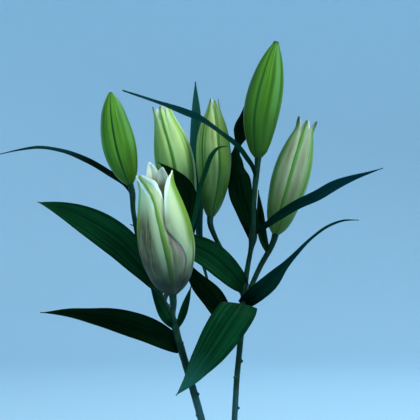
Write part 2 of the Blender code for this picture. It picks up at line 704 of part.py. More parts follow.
def build_core(bud):
    """The inner petals of an opening bud, whose ribs stand out between the outer tepals."""
    outline, size = table(bud["outline"]), bud_size(bud)

    def radius_at(share, angle):
        rib = math.exp(-((from_nearest_groove(angle, bud["turn"]) / RIB_WIDTH) ** 2))
        closing = 1 - (share / CORE_REACH) ** CORE_CLOSING
        radius = outline.at(share) * size * (CORE_SHARE + (RIB_SHARE - CORE_SHARE) * rib)
        return max(radius * closing, BUD_TIP_RADIUS)

    return spun_bud("core", bud, CORE_SIDES, CORE_RINGS, CORE_REACH, radius_at)


def build_tepal(bud, edges, reach, inset):
    """One tepal: a thick blade on the bud's outline between two edges, given in degrees."""
    axis, outline, size = bud_axis(bud), table(bud["outline"]), bud_size(bud)
    low = table([(row[0], row[1]) for row in edges])
    high = table([(row[0], row[2]) for row in edges])
    shape = bmesh.new()
    bmesh.ops.create_grid(shape, x_segments=TEPAL_COLUMNS, y_segments=TEPAL_ROWS, size=1)
    for vert in shape.verts:
        side, share = (vert.co.x + 1) / 2, (vert.co.y + 1) / 2
        angle = math.radians(low.at(share) + (high.at(share) - low.at(share)) * side)
        along = TEPAL_START + share * (reach - TEPAL_START)
        out = max(outline.at(along) * size - inset * MM, MM)
        beyond = max(along - 1, 0) * axis.length
        point = axis.at(along) + axis.heading(min(along, 1)) * beyond
        vert.co = point + round_the_bud(axis, min(along, 1), angle) * out
    bmesh.ops.triangulate(shape, faces=shape.faces)
    blade = add_object("tepal", shape)
    solid = blade.modifiers.new("thickness", "SOLIDIFY")
    solid.thickness = TEPAL_THICKNESS
    solid.offset = 0
    return blade


def build_opening_bud(name, bud):
    """An opening bud: inner petals in the middle, and outer tepals that part at their tips."""
    pieces = [build_core(bud)]
    if name == "bud_front":
        for tepal in FRONT_TEPALS:
            pieces.append(build_tepal(bud, tepal["edges"], tepal["reach"], tepal["inset"] + TEPAL_INSET))
    else:
        for middle in (60, 180, 300):
            centre = bud["turn"] + middle
            edges = [(share, centre - span, centre + span) for share, span in TEPAL_SPAN]
            pieces.append(build_tepal(bud, edges, 1.0, TEPAL_INSET))
    return fuse(name, pieces, OPENING_BUD_GREEN)


def main():
    for old in list(bpy.data.objects):
        bpy.data.objects.remove(old)
    stalks = {side: stalk_route(side) for side in STALKS}
    pedicels = {name: pedicel_route(name, stalks) for name in PEDICELS}
    sheaths = {}
    for side, route in stalks.items():
        below = route.at(0) - route.heading(0) * HOLE_RUN
        longer = Route([below] + route.points, [route.radius(0)] + route.thickness.values)
        sheaths[side] = as_guide(tube("sheath_" + side, longer, STALK_POINT_SPACING, GAP))
        grown = [pedicels[name] for name in PEDICELS if PEDICELS[name][0] == side]
        build_stem(side, route, grown)
    build_vase()
    build_water([sheaths[side] for side in STALKS])
    near_leaves = {leaf[key] for leaf in LEAVES.values() for key in ("pedicel", "clears") if key in leaf}
    for name in sorted(near_leaves):
        sheaths[name] = as_guide(tube("sheath_" + name, pedicels[name], PEDICEL_POINT_SPACING, GAP))
    for name, bud in BUDS.items():
        if bud["opening"]:
            build_opening_bud(name, bud)
        else:
            build_closed_bud(name, bud)
    for name, leaf in LEAVES.items():
        route = pedicels[leaf["pedicel"]] if "pedicel" in leaf else stalks[leaf["stalk"]]
        nearby = [sheaths[leaf[key]] for key in ("stalk", "pedicel", "clears") if key in leaf]
        build_leaf(name, leaf, route.at_height(leaf["height"] * MM), nearby)


main()
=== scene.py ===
"""Looks for two cut lily stems in bud that stand in a plain bottle vase.

The places of stems, leaves and buds are millimetres as seen from in front: across from the vase's
axis, up from its foot, and depth behind that axis, negative towards the front. seen() turns them
into points in metres. Shares run from 0 at a piece's base to 1 at its tip.
"""

import math

import bmesh
import bpy
from bpy.props import FloatProperty, FloatVectorProperty, PointerProperty
from mathutils import Matrix, Vector, noise


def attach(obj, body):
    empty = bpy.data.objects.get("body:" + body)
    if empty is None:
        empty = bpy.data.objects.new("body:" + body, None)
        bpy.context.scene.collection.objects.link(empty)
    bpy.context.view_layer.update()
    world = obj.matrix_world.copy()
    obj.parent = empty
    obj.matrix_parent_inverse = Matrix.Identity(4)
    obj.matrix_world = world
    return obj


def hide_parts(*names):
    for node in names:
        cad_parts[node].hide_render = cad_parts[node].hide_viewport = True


bl_info = {
    "name": "Lily stems in a vase",
    "version": (1, 0, 0),
    "blender": (4, 5, 0),
    "location": "View3D > Sidebar > Lily",
    "description": "Makes the fine leaves, buds, stems and glazed vase of a packed lily arrangement",
    "category": "Object",
}

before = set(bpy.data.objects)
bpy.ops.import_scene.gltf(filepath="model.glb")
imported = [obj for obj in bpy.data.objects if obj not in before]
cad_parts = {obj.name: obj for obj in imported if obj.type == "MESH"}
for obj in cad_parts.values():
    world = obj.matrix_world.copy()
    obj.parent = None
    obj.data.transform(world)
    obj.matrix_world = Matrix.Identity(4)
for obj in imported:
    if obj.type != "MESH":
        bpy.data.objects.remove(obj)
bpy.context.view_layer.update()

MM = 0.001
# Points of a profile that are nearer to the axis than this lie on it
ON_AXIS = 0.001 * MM
# The step in which a route's heading is measured, as a share of its length
HEADING_STEP = 0.002
HALVINGS = 30

# The viewpoint that the places are seen from, in millimetres, and the width that it sees
VIEW_DISTANCE = 1400
VIEW_ACROSS = -8
VIEW_HEIGHT = 411
VIEW_WIDTH = 378

# Vase, in millimetres
VASE_HEIGHT = 210
VASE_FOOT_RADIUS = 37
VASE_BELLY_RADIUS = 64
VASE_WALL = 4.2
VASE_FLOOR = 8
VASE_FLOOR_CORNER = 2
# How far the foot's bevelled edge reaches out and up
VASE_FOOT_BEVEL = (1.6, 0.5)
VASE_SIDES = 128
VASE_RINGS = 72
# Radius as a share of the belly's, and height as a share of the vase's
VASE_BODY = [
    (0.66, 0.012), (0.84, 0.13), (0.98, 0.28), (1.0, 0.39), (0.9, 0.54), (0.68, 0.67), (0.46, 0.77),
]
# Radius in millimetres, and height as a share of the vase's
VASE_NECK = [(22.0, 0.87), (21.2, 0.93), (24.4, 0.985)]
LIP_STEPS = 6
# Heights in metres where the glaze starts to pool above the foot and where it is thickest, and where it
# starts to thin towards the lip and is thinnest
GLAZE_POOL = (0.05, 0.012)
GLAZE_LIP = (0.2055, 0.2095)

# Each stalk from its cut end in the water to its top bud: across, up, depth, radius
STALKS = {
    "left": [
        (31.0, 7.9, -4.5, 3.4), (8.0, 114, -4.5, 3.4), (-16.1, 223.8, -4.5, 3.4), (-29.1, 269.7, -4, 3.4),
        (-37.4, 297.6, -4, 3.3), (-40.8, 311, -4, 3.4), (-49.4, 327.3, -4, 2.9), (-58.8, 344.4, -4, 2.7),
        (-70.1, 375, -4, 2.5), (-75.4, 400, -4, 2.3), (-77.2, 411, -4, 2.3),
    ],
    "right": [
        (-3.0, 10.0, 4.5, 2.8), (6.5, 110, 4.5, 2.8), (14.1, 223.8, 4.5, 2.8), (16.4, 262.5, 4, 2.7),
        (19.0, 289.5, 3.5, 2.7), (21.4, 325, 3, 2.9), (25.9, 359.7, 3, 2.4), (29.2, 377.7, 2.5, 2.5),
        (30.7, 386.7, 2, 3.5), (30.9, 396, 2, 2.5), (31.6, 418, 1, 2.4), (32.6, 433, 0, 2.4),
    ],
}
# Scars of stripped leaves: stalk, height, direction round the stalk in degrees from the front
SCARS = [
    ("left", 244.8, 80), ("left", 225.5, -80),
    ("right", 273.3, 85), ("right", 258.9, -40), ("right", 231, 85),
]
# Pedicels: bud, stalk, height where it leaves the stalk, and the way: across, up, depth, radius
PEDICELS = {
    "bud_back_left": ("left", 328, 2.2, [(-41.5, 353, 14, 2.2), (-33.0, 379, 24, 2.3)]),
    "bud_middle": ("right", 333, 2.2, [(11.8, 354.3, 13, 2.2), (3.1, 373.6, 14, 2.2), (-4.0, 388, 12, 2.3)]),
    "bud_right": ("right", 322, 2.4, [(27.7, 339, 6, 2.4), (37.0, 359.7, 10, 2.5)]),
    "bud_front": ("left", 309, 2.6, [(-41.4, 316, -14, 2.5)]),
}
# Straight run under a bud, its end's radius as a share of the bud's base, and how far it sinks in
SEAT_RUN = 6 * MM
SEAT_SHARE = 0.92
SEAT_DEPTH = 3.5 * MM
STALK_SPACING = 4 * MM
STALK_ROUNDNESS = 5
STALK_VOXEL = 0.62 * MM
STALK_SMOOTHING = 5
NODE_SWELL = 0.3 * MM
NODE_LENGTH = 5 * MM
# How often the fine ridges of the stalks change in each metre across, back and up
RIDGE_GRAIN = (1100, 1100, 30)
SCAR_RADIUS = 1.5 * MM
SCAR_END_RADIUS = 1.05 * MM
SCAR_LENGTH = 5 * MM
SCAR_SHIFT = 2.25 * MM
SCAR_RISE = 0.35
# Heights between which the stalks are darker, the lower stretch a painted shadow under the low leaves,
# how softly that ends, and where they begin and stop growing greyer towards the cut ends
DARK_STRETCHES = [(0.266, 0.293), (0.362, 0.397)]
DARK_FADE = 0.004
GREY_TOP = 0.27
GREY_FULL = 0.225

# Buds. base and tip are across, up, depth. bow is how far the axis stands across of the line
# between them, at one third and at two thirds of it. outline is the half width, in millimetres,
# along the length from base to tip.
# turn is where the first groove (or inner petal's rib) lies, in degrees from the front.
CLOSED_BUDS = {
    "bud_left": dict(
        stalk="left", base=(-80, 434.4, -4), tip=(-97.5, 517, -8), bow=(-2.2, -2.2), turn=-9,
        outline=[(0, 3.4), (0.045, 6.6), (0.1, 9.4), (0.2, 12.4), (0.32, 14.5), (0.44, 15.2), (0.58, 14.3),
                 (0.7, 12.4), (0.81, 10), (0.91, 6.3), (0.97, 3.2), (1, 1.4)],
        crisp=1, dark_tip=0.02,
    ),
    "bud_top_right": dict(
        stalk="right", base=(35.2, 458.2, 0), tip=(51.8, 562.8, -5), bow=(-3.2, -2.0), turn=-24,
        outline=[(0, 3.5), (0.04, 7.0), (0.1, 9.9), (0.2, 13.1), (0.34, 15.8), (0.46, 16.5), (0.6, 15.6),
                 (0.7, 13.8), (0.8, 11), (0.9, 7), (0.97, 3.4), (1, 2)],
        crisp=0.2, dark_tip=0.035,
    ),
}
OPENING_BUDS = {
    "bud_back_left": dict(
        stalk="left", base=(-30.5, 400.2, 26), tip=(-52.2, 505.5, 30), bow=(1.2, 1.9), turn=-1, twist=-10,
        outline=[(0, 3.5), (0.04, 6.7), (0.1, 9.9), (0.2, 13.7), (0.34, 16.6), (0.48, 17.7), (0.6, 17),
                 (0.7, 15), (0.79, 12.3), (0.87, 9.9), (0.95, 8), (1, 7.4)],
    ),
    "bud_middle": dict(
        stalk="right", base=(-7.5, 405.6, 10), tip=(-4.8, 510.9, 12), bow=(1.8, 0.3), turn=22,
        outline=[(0, 3.6), (0.04, 6.1), (0.1, 8.8), (0.2, 11.9), (0.32, 14.2), (0.46, 15.8), (0.6, 15.3),
                 (0.72, 13.3), (0.8, 10.7), (0.88, 7.1), (0.95, 4.8), (1, 3.5)],
    ),
    "bud_right": dict(
        stalk="right", base=(51.0, 389.6, 14), tip=(80.0, 492.5, 18), bow=(-0.7, -0.6), turn=-4,
        outline=[(0, 3.6), (0.04, 7.2), (0.12, 11.2), (0.2, 13.4), (0.3, 15.2), (0.42, 16.7), (0.54, 16.8),
                 (0.64, 15.8), (0.73, 13.9), (0.82, 11.4), (0.9, 8.9), (1, 9.2)],
    ),
    "bud_front": dict(
        stalk="left", base=(-41.7, 335, -30), tip=(-58.2, 445.2, -50), bow=(1.0, 1.1), turn=0,
        outline=[(0, 4.2), (0.04, 10), (0.1, 15.7), (0.2, 20.7), (0.32, 24.2), (0.43, 25.3), (0.56, 24.3),
                 (0.7, 21.2), (0.8, 18.3), (0.9, 15.9), (1, 15.6)],
    ),
}
BUD_SIDES = 120
BUD_RINGS = 96
# A closed bud's grooves: depth as a share of its radius, then place and breadth as shares of the way
# from the groove to the ridge. The crease in the groove is deeper by CRISP_CREASE where it is crisp.
CREASE = 0.03
CRISP_CREASE = 0.04
CREASE_BREADTH = 0.07
BUD_FURROWS = [(0.025, 0, 0.25), (0.018, 0.65, 0.14)]

# Half angles of an outer tepal and an inner petal round the bud, in degrees, along their length
OUTER_SPAN = [(0, 57.5), (0.6, 57.5), (0.75, 53), (0.88, 38), (0.96, 20), (1, 7)]
INNER_SPAN = [(0, 58), (0.7, 57), (0.85, 45), (0.94, 27), (1, 5)]
# The front bud's own tepals: where both edges lie round the bud along their length, how far the tip
# reaches as a share of the bud's length, and how far the tip turns outwards in millimetres. straight
# is the direction and half angle that the streaks keep to, rim the side whose margin is white (1 for
# the right, -1 for the left), lip how far the tip is white too, roll how far the margins bend in, green
# the directions where the flank's green starts and is full and the share of the length where it starts,
# dusk the directions where the dusk starts and is full and its strength, deeper how much further in a
# petal stands, and beside the outer tepal whose margin runs along the petal's flushed hollow.
# The dusk on the front bud's outer tepals is partly their own dusky streaks and partly painted shade on the
# sides turned from the light
FRONT_OUTER = [
    dict(reach=0.995, flare=1.2, edges=[
        (0, -118, 2), (0.12, -125, 0), (0.34, -140, -4), (0.59, -135, -10), (0.735, -126, -14.5),
        (0.835, -120, -22), (0.885, -112, -34), (0.94, -105, -48), (1, -92, -66)],
        straight=(-118, 100), rim=1, lip=1, roll=0.35, green=(-56, -74, 0.42), dusk=(-13, -31, 1)),
    dict(reach=0.991, flare=0.8, edges=[
        (0, 35, 125), (0.15, 40, 131), (0.305, 47, 138), (0.41, 36, 140), (0.51, 18, 139.5),
        (0.59, 6, 138), (0.673, 7, 135), (0.815, 17, 128), (0.915, 32, 118), (0.965, 48, 105), (1, 82, 90)],
        straight=(71, 52), rim=-1, green=(43, 63, 0.3), dusk=(36, 16, 0.55)),
    dict(reach=0.98, flare=0.5, edges=[
        (0, 130, 230), (0.5, 136, 224), (0.8, 146, 214), (1, 176, 184)]),
]
FRONT_INNER = [
    dict(reach=1.003, flare=0.9, beside=1, edges=[
        (0, -36, 58), (0.19, -42, 52), (0.385, -49, 50), (0.53, -52, 46), (0.673, -50, 33),
        (0.8, -42, 14), (0.85, -53, 12.5), (0.89, -64, 7.5), (0.93, -76, 3.5), (0.955, -83, -6),
        (0.98, -86, -26), (1, -80, -42)]),
    dict(reach=1.065, flare=0.8, edges=[
        (0, -165, -85), (0.6, -175, -92), (0.86, -196, -135), (0.92, -192, -147), (0.97, -180, -157),
        (1, -169, -163)]),
    dict(reach=1.01, flare=0.8, deeper=0.8, edges=[
        (0, 85, 165), (0.7, 92, 170), (0.88, 118, 178), (0.94, 128, 175), (0.975, 136, 168),
        (1, 143, 149)]),
]
TEPAL_COLUMNS = 28
TEPAL_ROWS = 72
OUTER_INSET = 0.5
INNER_INSET = 1.8
RIB_WIDTH = 1.1
FRONT_RIB_WIDTH = 1.8
# How far the ribs stand out. Those of the inner petals fill the gaps between the outer tepals.
OUTER_RIB = 0.35
INNER_RIB = INNER_INSET - 0.4
# How far the margins ripple, and how many ripples there are along a tepal
RIPPLE = 0.5
RIPPLE_COUNT = 14
LEAST_RADIUS = 0.4 * MM
# The flushed hollow of the front bud and the swelling beside it: degrees from the margin, breadth in
# degrees, place and length as shares of the bud's length, depth and height in millimetres
HOLLOW_SHIFT = -7
HOLLOW_WIDTH = 6
HOLLOW_PLACE = 0.39
HOLLOW_LENGTH = 0.12
HOLLOW_DEPTH = 0.9
SWELL_SHIFT = -17
SWELL_HEIGHT = 0.6
# The gutter between the front bud's rib and that margin: degrees from the margin, breadth in degrees,
# depth in millimetres
GUTTER_SHIFT = -3
GUTTER_WIDTH = 6
GUTTER_DEPTH = 0.9
COLUMN_GATHER = 1.7
# How many degrees further the dusk of the front bud's outer tepals reaches at the base than at the tip
DUSK_LEAN = 25

# Leaves. height is where the blade leaves its stalk (or pedicel), path its middle from there on:
# across, up, depth. width in millimetres, widest as a share of the length, turn the blade's turn
# away from the front along its length in degrees, cup how far the edges rise for their half width.
# face is the upper side's material, and flipped blades turn their underside to the front. A folded
# blade has across instead of turn: the direction across it at its root and from FOLD_END on.
LEAVES = {
    "leaf_left_high": dict(
        stalk="left", face="leaf_edgewise", height=424, width=12, widest=0.4, cup=0.25,
        turn=[(0, 50), (0.3, 66), (1, 70)],
        path=[(-84, 433.2, 2), (-102.5, 445.2, 7), (-120.5, 455.1, 8), (-141.2, 463.6, 8),
              (-161, 466.8, 6), (-179, 465, 4), (-201, 460.5, 1)],
    ),
    "leaf_left_broad": dict(
        stalk="left", height=340, width=29.5, widest=0.47, cup=0.16, turn=[(0, 10), (0.4, 0), (1, 12)],
        path=[(-65.6, 355.1, -11), (-73.8, 365.6, -13), (-87.1, 380, -13), (-102.5, 391.8, -12),
              (-119.3, 401.6, -9), (-137.2, 409.9, -5), (-149.9, 414.4, -2), (-163.2, 418.2, 1)],
    ),
    "leaf_left_low": dict(
        stalk="left", face="leaf_deep", height=287, width=23, widest=0.34, cup=0.2,
        turn=[(0, 0), (0.35, 6), (0.7, 35), (1, 40)],
        path=[(-50.1, 296.4, -3), (-61.5, 302.2, -3), (-79.4, 308.2, -3), (-97.7, 312.6, -2),
              (-116.4, 315.3, 0), (-135, 318.2, 2), (-160.7, 318.7, 6)],
    ),
    "leaf_front_folded": dict(
        stalk="right", height=318, width=34, widest=0.42, cup=0.1, across=((1, 0, 0), (0.82, 0, -0.57)),
        face="leaf_folded", flipped=True,
        path=[(21.2, 325.0, -12), (20.2, 326.0, -23), (17.2, 321.5, -32), (11, 312.5, -37),
              (0.7, 296.8, -40), (-7.6, 284.1, -41), (-16.6, 271.7, -41), (-25.2, 259.2, -40),
              (-38.7, 243.9, -38)],
    ),
    "leaf_centre_broad": dict(
        stalk="right", height=340, width=25, widest=0.37, cup=0.2,
        turn=[(0, 0), (0.35, 6), (0.7, 28), (1, 35)],
        path=[(13.4, 350.8, -3), (4.9, 359.4, 1), (-9.1, 370.9, 5), (-24.8, 378.4, 9),
              (-41.3, 384.3, 10), (-57.9, 390.2, 10), (-68.9, 394.1, 9), (-80, 398, 8)],
    ),
    "leaf_centre_dark": dict(
        stalk="right", face="leaf_deep", height=303, width=21, widest=0.5, cup=0.18, turn=[(0, 20), (1, 10)],
        path=[(6.4, 313.8, 10), (-7.1, 333.6, 18), (-18.8, 346.2, 20), (-31, 366, 20)],
    ),
    "leaf_behind_front_bud": dict(
        stalk="left", face="leaf_deep", height=334, width=21, widest=0.55, cup=0.18, turn=[(0, 10), (1, 0)],
        path=[(-43, 352, 4), (-34, 382, 1), (-30, 406.5, 0), (-28.3, 420, 0), (-31.8, 432.5, 1),
              (-41, 443.5, 3), (-54.8, 454.2, 4)],
    ),
    "leaf_arched_thin": dict(
        stalk="left", height=322, width=8.2, widest=0.7, cup=0.2,
        turn=[(0, 46), (0.6, 58), (0.82, 50), (1, 15)],
        path=[(-38.6, 338, -7), (-32.4, 356, -10), (-25.6, 392, -15), (-19.9, 416.8, -18),
              (-17.4, 431.2, -19), (-12.5, 446.1, -20), (-6.6, 460.5, -20), (-0.8, 466.8, -20),
              (7.9, 468.6, -20)],
    ),
    "leaf_long_crossing": dict(
        stalk="right", face="leaf_edgewise", height=438, width=10.5, widest=0.5, cup=0.2,
        turn=[(0, 30), (0.13, 36), (0.22, 54), (0.3, 65), (0.47, 65), (0.56, 52), (0.7, 52), (1, 60)],
        path=[(29.8, 450.5, -10), (24.5, 458, -17), (15.1, 469.8, -20), (0.7, 480.7, -21),
              (-18.6, 493.2, -20), (-30.5, 498.5, -18.5), (-42.7, 503.3, -17), (-53, 507, -16),
              (-66.8, 511.8, -15), (-86.8, 518.5, -13)],
    ),
    "leaf_back_upright": dict(
        stalk="right", height=298, width=14, widest=0.75, cup=0.18, turn=[(0, 20), (1, 28)],
        flipped=True,
        path=[(8, 312, 20), (-5, 334, 36), (-13.5, 360, 46), (-17.5, 386, 51), (-19, 420, 53),
              (-20.4, 465, 54), (-20.9, 500, 52), (-21.2, 526.5, 48)],
    ),
    "leaf_right_high": dict(
        stalk="right", face="leaf_edgewise", height=388, width=13, widest=0.5, cup=0.22,
        turn=[(0, 35), (1, 50)],
        path=[(43.3, 398.3, -6), (53.7, 406.3, -9), (70.1, 416.7, -11), (87.6, 424.8, -11),
              (104.5, 434.1, -10), (122.6, 441.2, -8), (135.1, 444.9, -6), (147.7, 448.6, -4)],
    ),
    "leaf_right_low": dict(
        stalk="right", face="leaf_edgewise", height=326, width=17, widest=0.28, cup=0.22,
        turn=[(0, 15), (0.22, 20), (0.4, 62), (0.6, 74), (1, 70)],
        path=[(34.5, 336.8, -7), (43.9, 345.1, -8), (56.1, 360.1, -8), (69.5, 373.5, -8),
              (83.4, 386.2, -8), (98.6, 397.2, -7), (110.8, 401.7, -6), (126.1, 401.9, -5)],
    ),
    "leaf_right_dark": dict(
        stalk="right", face="leaf_deep", height=384, width=22, widest=0.42, cup=0.18,
        turn=[(0, 0), (0.36, 4), (0.42, 18), (0.5, 50), (0.56, 56), (0.62, 72), (0.66, 70), (0.72, 30),
              (0.755, 0), (0.82, 0), (1, 20)],
        path=[(28.2, 398.3, 12), (24.5, 412, 17), (20, 425, 21), (17.6, 438, 27), (14.6, 451.5, 32),
              (14, 463, 34), (15.7, 469.5, 34), (18.8, 478, 33), (20.3, 487, 32), (23, 495, 31),
              (25.8, 507.3, 30), (28.2, 518, 29)],
    ),
}
BRACTS = {
    "bract_left": dict(
        stalk="left", height=304.5, width=9, widest=0.4, cup=0.3, turn=[(0, 25), (1, 30)],
        path=[(-48.5, 314.5, -9), (-55.5, 328.5, -12), (-62.5, 344.9, -14)],
    ),
    "bract_centre": dict(
        stalk="left", height=303, width=8, widest=0.45, cup=0.3, turn=[(0, -25), (1, -30)],
        path=[(-33.0, 315, -6), (-28.5, 329, -10), (-25, 342.1, -14)],
    ),
    "bract_right": dict(
        pedicel="bud_right", height=372, width=8.5, widest=0.4, cup=0.3, turn=[(0, 10), (1, 10)],
        path=[(39.5, 386, 19), (37, 409, 23), (35.4, 429, 25)],
    ),
}
LEAF_COLUMNS = 20
LEAF_ROWS = 90
LEAF_BASE_SHARE = 0.05
LEAF_TAPER = 1.15
LEAF_TIP_HALF_WIDTH = 0.4 * MM
FOLD_END = 0.625
CREASE_WIDTH = 0.1
WAVE_LENGTH = 34 * MM
# How thin the margins of leaves and tepals are, as a share of the thickness at their middle
LEAF_MARGIN = 0.4
TEPAL_MARGIN = 0.35

# Colours that aren't in the panel: the tint of reflections, the white margins and dark tips of tepals,
# the tan inside their tips, the specks on the stalks and in the glaze, and the water's two tones
GREEN_SHEEN = (0.3, 1.0, 0.55, 1)
RIM_WHITE = (0.78, 0.94, 0.86, 1)
TIP_DARK = (0.01, 0.05, 0.035, 1)
TIP_TAN = (0.27, 0.25, 0.08, 1)
STALK_SPECK = (0.08, 0.11, 0.06, 1)
GLAZE_SPECK = (0.2, 0.15, 0.1, 1)
WATER_TONES = [(0.78, 0.88, 0.86, 1), (0.86, 0.93, 0.93, 1)]
# How light passes through a tepal
TEPAL_GLOW = dict(Subsurface_Weight=0.12, Subsurface_Radius=(0.004, 0.005, 0.003), Subsurface_Scale=1.0)

# The floor curves up over COVE metres to the backdrop
COVE = 1.4
COVE_STEPS = 12
BACKDROP_HEIGHT = 3.4
STAGE_SIDES = 96
# The place, size and colour of each light, and the point that they face
LIGHTS = {
    "key": ((1.5, -1.3, 2.5), 1.2, (1.0, 0.98, 0.93)),
    "fill": ((-2.2, -1.6, 1.5), 2.0, (0.94, 1.0, 0.84)),
    "back": ((0.9, 2.2, 2.4), 1.6, (0.75, 0.9, 1.0)),
}
LIT_POINT = (-0.01, 0, 0.4)
SKY_COLOUR = (0.95, 1.0, 0.92, 1)


class VaseSettings(bpy.types.PropertyGroup):
    """The vase and the water in it."""

    glaze: FloatVectorProperty(
        name="Glaze", description="Colour of the glaze", subtype="COLOR", size=4, min=0, max=1,
        default=(0.56, 0.61, 0.63, 1))
    pooled: FloatVectorProperty(
        name="Pooled glaze", description="Colour where the glaze runs thick", subtype="COLOR", size=4,
        min=0, max=1, default=(0.36, 0.43, 0.46, 1))
    clay: FloatVectorProperty(
        name="Clay", description="Colour of the bare clay at the foot", subtype="COLOR", size=4, min=0,
        max=1, default=(0.42, 0.33, 0.25, 1))
    bare_foot: FloatProperty(
        name="Bare foot", description="Height of the unglazed foot", unit="LENGTH", default=0.0025)


class StemSettings(bpy.types.PropertyGroup):
    """The stalks and pedicels."""

    colour: FloatVectorProperty(
        name="Stalk", description="Colour of the stalks", subtype="COLOR", size=4, min=0, max=1,
        default=(0.008, 0.042, 0.024, 1))
    # The streak colour also paints the shadow in the stalks' lower dark stretch
    shade: FloatVectorProperty(
        name="Stalk streaks", description="Darker streaks along the stalks", subtype="COLOR", size=4,
        min=0, max=1, default=(0.001, 0.007, 0.006, 1))
    grey: FloatVectorProperty(
        name="Grey stalk", description="Colour of the stalks towards their cut ends", subtype="COLOR",
        size=4, min=0, max=1, default=(0.02, 0.064, 0.085, 1))
    ridge: FloatProperty(
        name="Ridges", description="Height of the fine ridges along the stalks", unit="LENGTH",
        default=0.00015)


class LeafSettings(bpy.types.PropertyGroup):
    """The leaves and bracts."""

    upper: FloatVectorProperty(
        name="Upper side", description="Colour of a leaf's upper side", subtype="COLOR", size=4, min=0,
        max=1, default=(0.0006, 0.018, 0.0065, 1))
    vein: FloatVectorProperty(
        name="Veins", description="Colour of the lengthwise veins", subtype="COLOR", size=4, min=0, max=1,
        default=(0.004, 0.055, 0.019, 1))
    # Painted shade: the leaves that lie behind or under others get these much darker colours for the shade
    # they stand in
    painted_shade: FloatVectorProperty(
        name="Shadow leaf", description="Colour of the shadowed, darkest leaves", subtype="COLOR", size=4, min=0,
        max=1, default=(0.0003, 0.006, 0.0022, 1))
    painted_shade_vein: FloatVectorProperty(
        name="Shadow veins", description="Colour of the veins of the darkest leaves", subtype="COLOR", size=4,
        min=0, max=1, default=(0.0012, 0.018, 0.006, 1))
    # Painted sheen: the narrow leaves seen edgewise are coloured dark green-teal, and lighter teal over most
    # of their length towards the tip, for the sheen they show, while their own reflection is almost off
    edgewise: FloatVectorProperty(
        name="Edgewise leaf", description="Colour of the narrow leaves that are seen edgewise",
        subtype="COLOR", size=4, min=0, max=1, default=(0.0004, 0.011, 0.0065, 1))
    edgewise_vein: FloatVectorProperty(
        name="Edgewise veins", description="Colour of the veins of the narrow leaves", subtype="COLOR",
        size=4, min=0, max=1, default=(0.0012, 0.026, 0.017, 1))
    edgewise_sheen_tip: FloatVectorProperty(
        name="Edgewise tip", description="Colour of the narrow leaves towards the tip", subtype="COLOR",
        size=4, min=0, max=1, default=(0.0012, 0.036, 0.046, 1))
    # Painted sheen: the lighter teal of the folded leaf's lit tip
    folded_tip_sheen: FloatVectorProperty(
        name="Folded tip", description="Colour of the folded leaf's tip", subtype="COLOR", size=4, min=0,
        max=1, default=(0.02, 0.12, 0.095, 1))
    under: FloatVectorProperty(
        name="Underside", description="Colour of a leaf's underside", subtype="COLOR", size=4, min=0,
        max=1, default=(0.004, 0.042, 0.038, 1))
    under_vein: FloatVectorProperty(
        name="Underside veins", description="Colour of the veins on the underside", subtype="COLOR", size=4,
        min=0, max=1, default=(0.012, 0.09, 0.078, 1))
    thickness: FloatProperty(
        name="Thickness", description="Thickness of a blade at its middle", unit="LENGTH", default=0.0007)
    wave: FloatProperty(
        name="Wave", description="How far the margins rise and fall", unit="LENGTH", default=0.0007)
    crease: FloatProperty(
        name="Crease", description="Depth of the furrow over the midrib", unit="LENGTH", default=0.0006)


class BudSettings(bpy.types.PropertyGroup):
    """The closed and the opening buds."""

    closed: FloatVectorProperty(
        name="Closed bud", description="Colour of a closed bud", subtype="COLOR", size=4, min=0, max=1,
        default=(0.062, 0.19, 0.014, 1))
    # Painted light on the closed buds: the groove colour is painted shade in the grooves and also the dark
    # tips, and the ridge colour is a painted highlight on the ridges' crests
    groove: FloatVectorProperty(
        name="Groove", description="Colour in a closed bud's grooves", subtype="COLOR", size=4, min=0,
        max=1, default=(0.008, 0.05, 0.012, 1))
    ridge: FloatVectorProperty(
        name="Ridge", description="Colour of a closed bud's ridges", subtype="COLOR", size=4, min=0,
        max=1, default=(0.1, 0.28, 0.07, 1))
    rib: FloatVectorProperty(
        name="Rib", description="Colour of the ribs of an opening bud", subtype="COLOR", size=4, min=0,
        max=1, default=(0.17, 0.4, 0.05, 1))
    inside: FloatVectorProperty(
        name="Inside", description="Colour of the inner faces of the tepals", subtype="COLOR", size=4,
        min=0, max=1, default=(0.68, 0.82, 0.7, 1))
    # The hollow's colour is partly the petal's own pink and partly painted shade under the outer tepal's
    # margin
    flush: FloatVectorProperty(
        name="Flush", description="Colour of the flushed hollow of the front bud", subtype="COLOR", size=4,
        min=0, max=1, default=(0.2, 0.12, 0.16, 1))
    thickness: FloatProperty(
        name="Tepal", description="Thickness of a tepal at its middle", unit="LENGTH", default=0.001)


class StageSettings(bpy.types.PropertyGroup):
    """The floor, the lights and the camera."""

    floor: FloatVectorProperty(
        name="Floor", description="Colour of the floor and the backdrop", subtype="COLOR", size=4, min=0,
        max=1, default=(0.45, 0.73, 0.94, 1))
    reach: FloatProperty(
        name="Reach", description="Radius of the backdrop", unit="LENGTH", default=4.2)
    key_power: FloatProperty(
        name="Key light", description="Power of the main light", unit="POWER", default=92)
    fill_power: FloatProperty(
        name="Fill light", description="Power of the light from the left", unit="POWER", default=16)
    back_power: FloatProperty(
        name="Back light", description="Power of the light from behind", unit="POWER", default=34)
    sky: FloatProperty(
        name="Ambient", description="Strength of the even light", default=0.22)


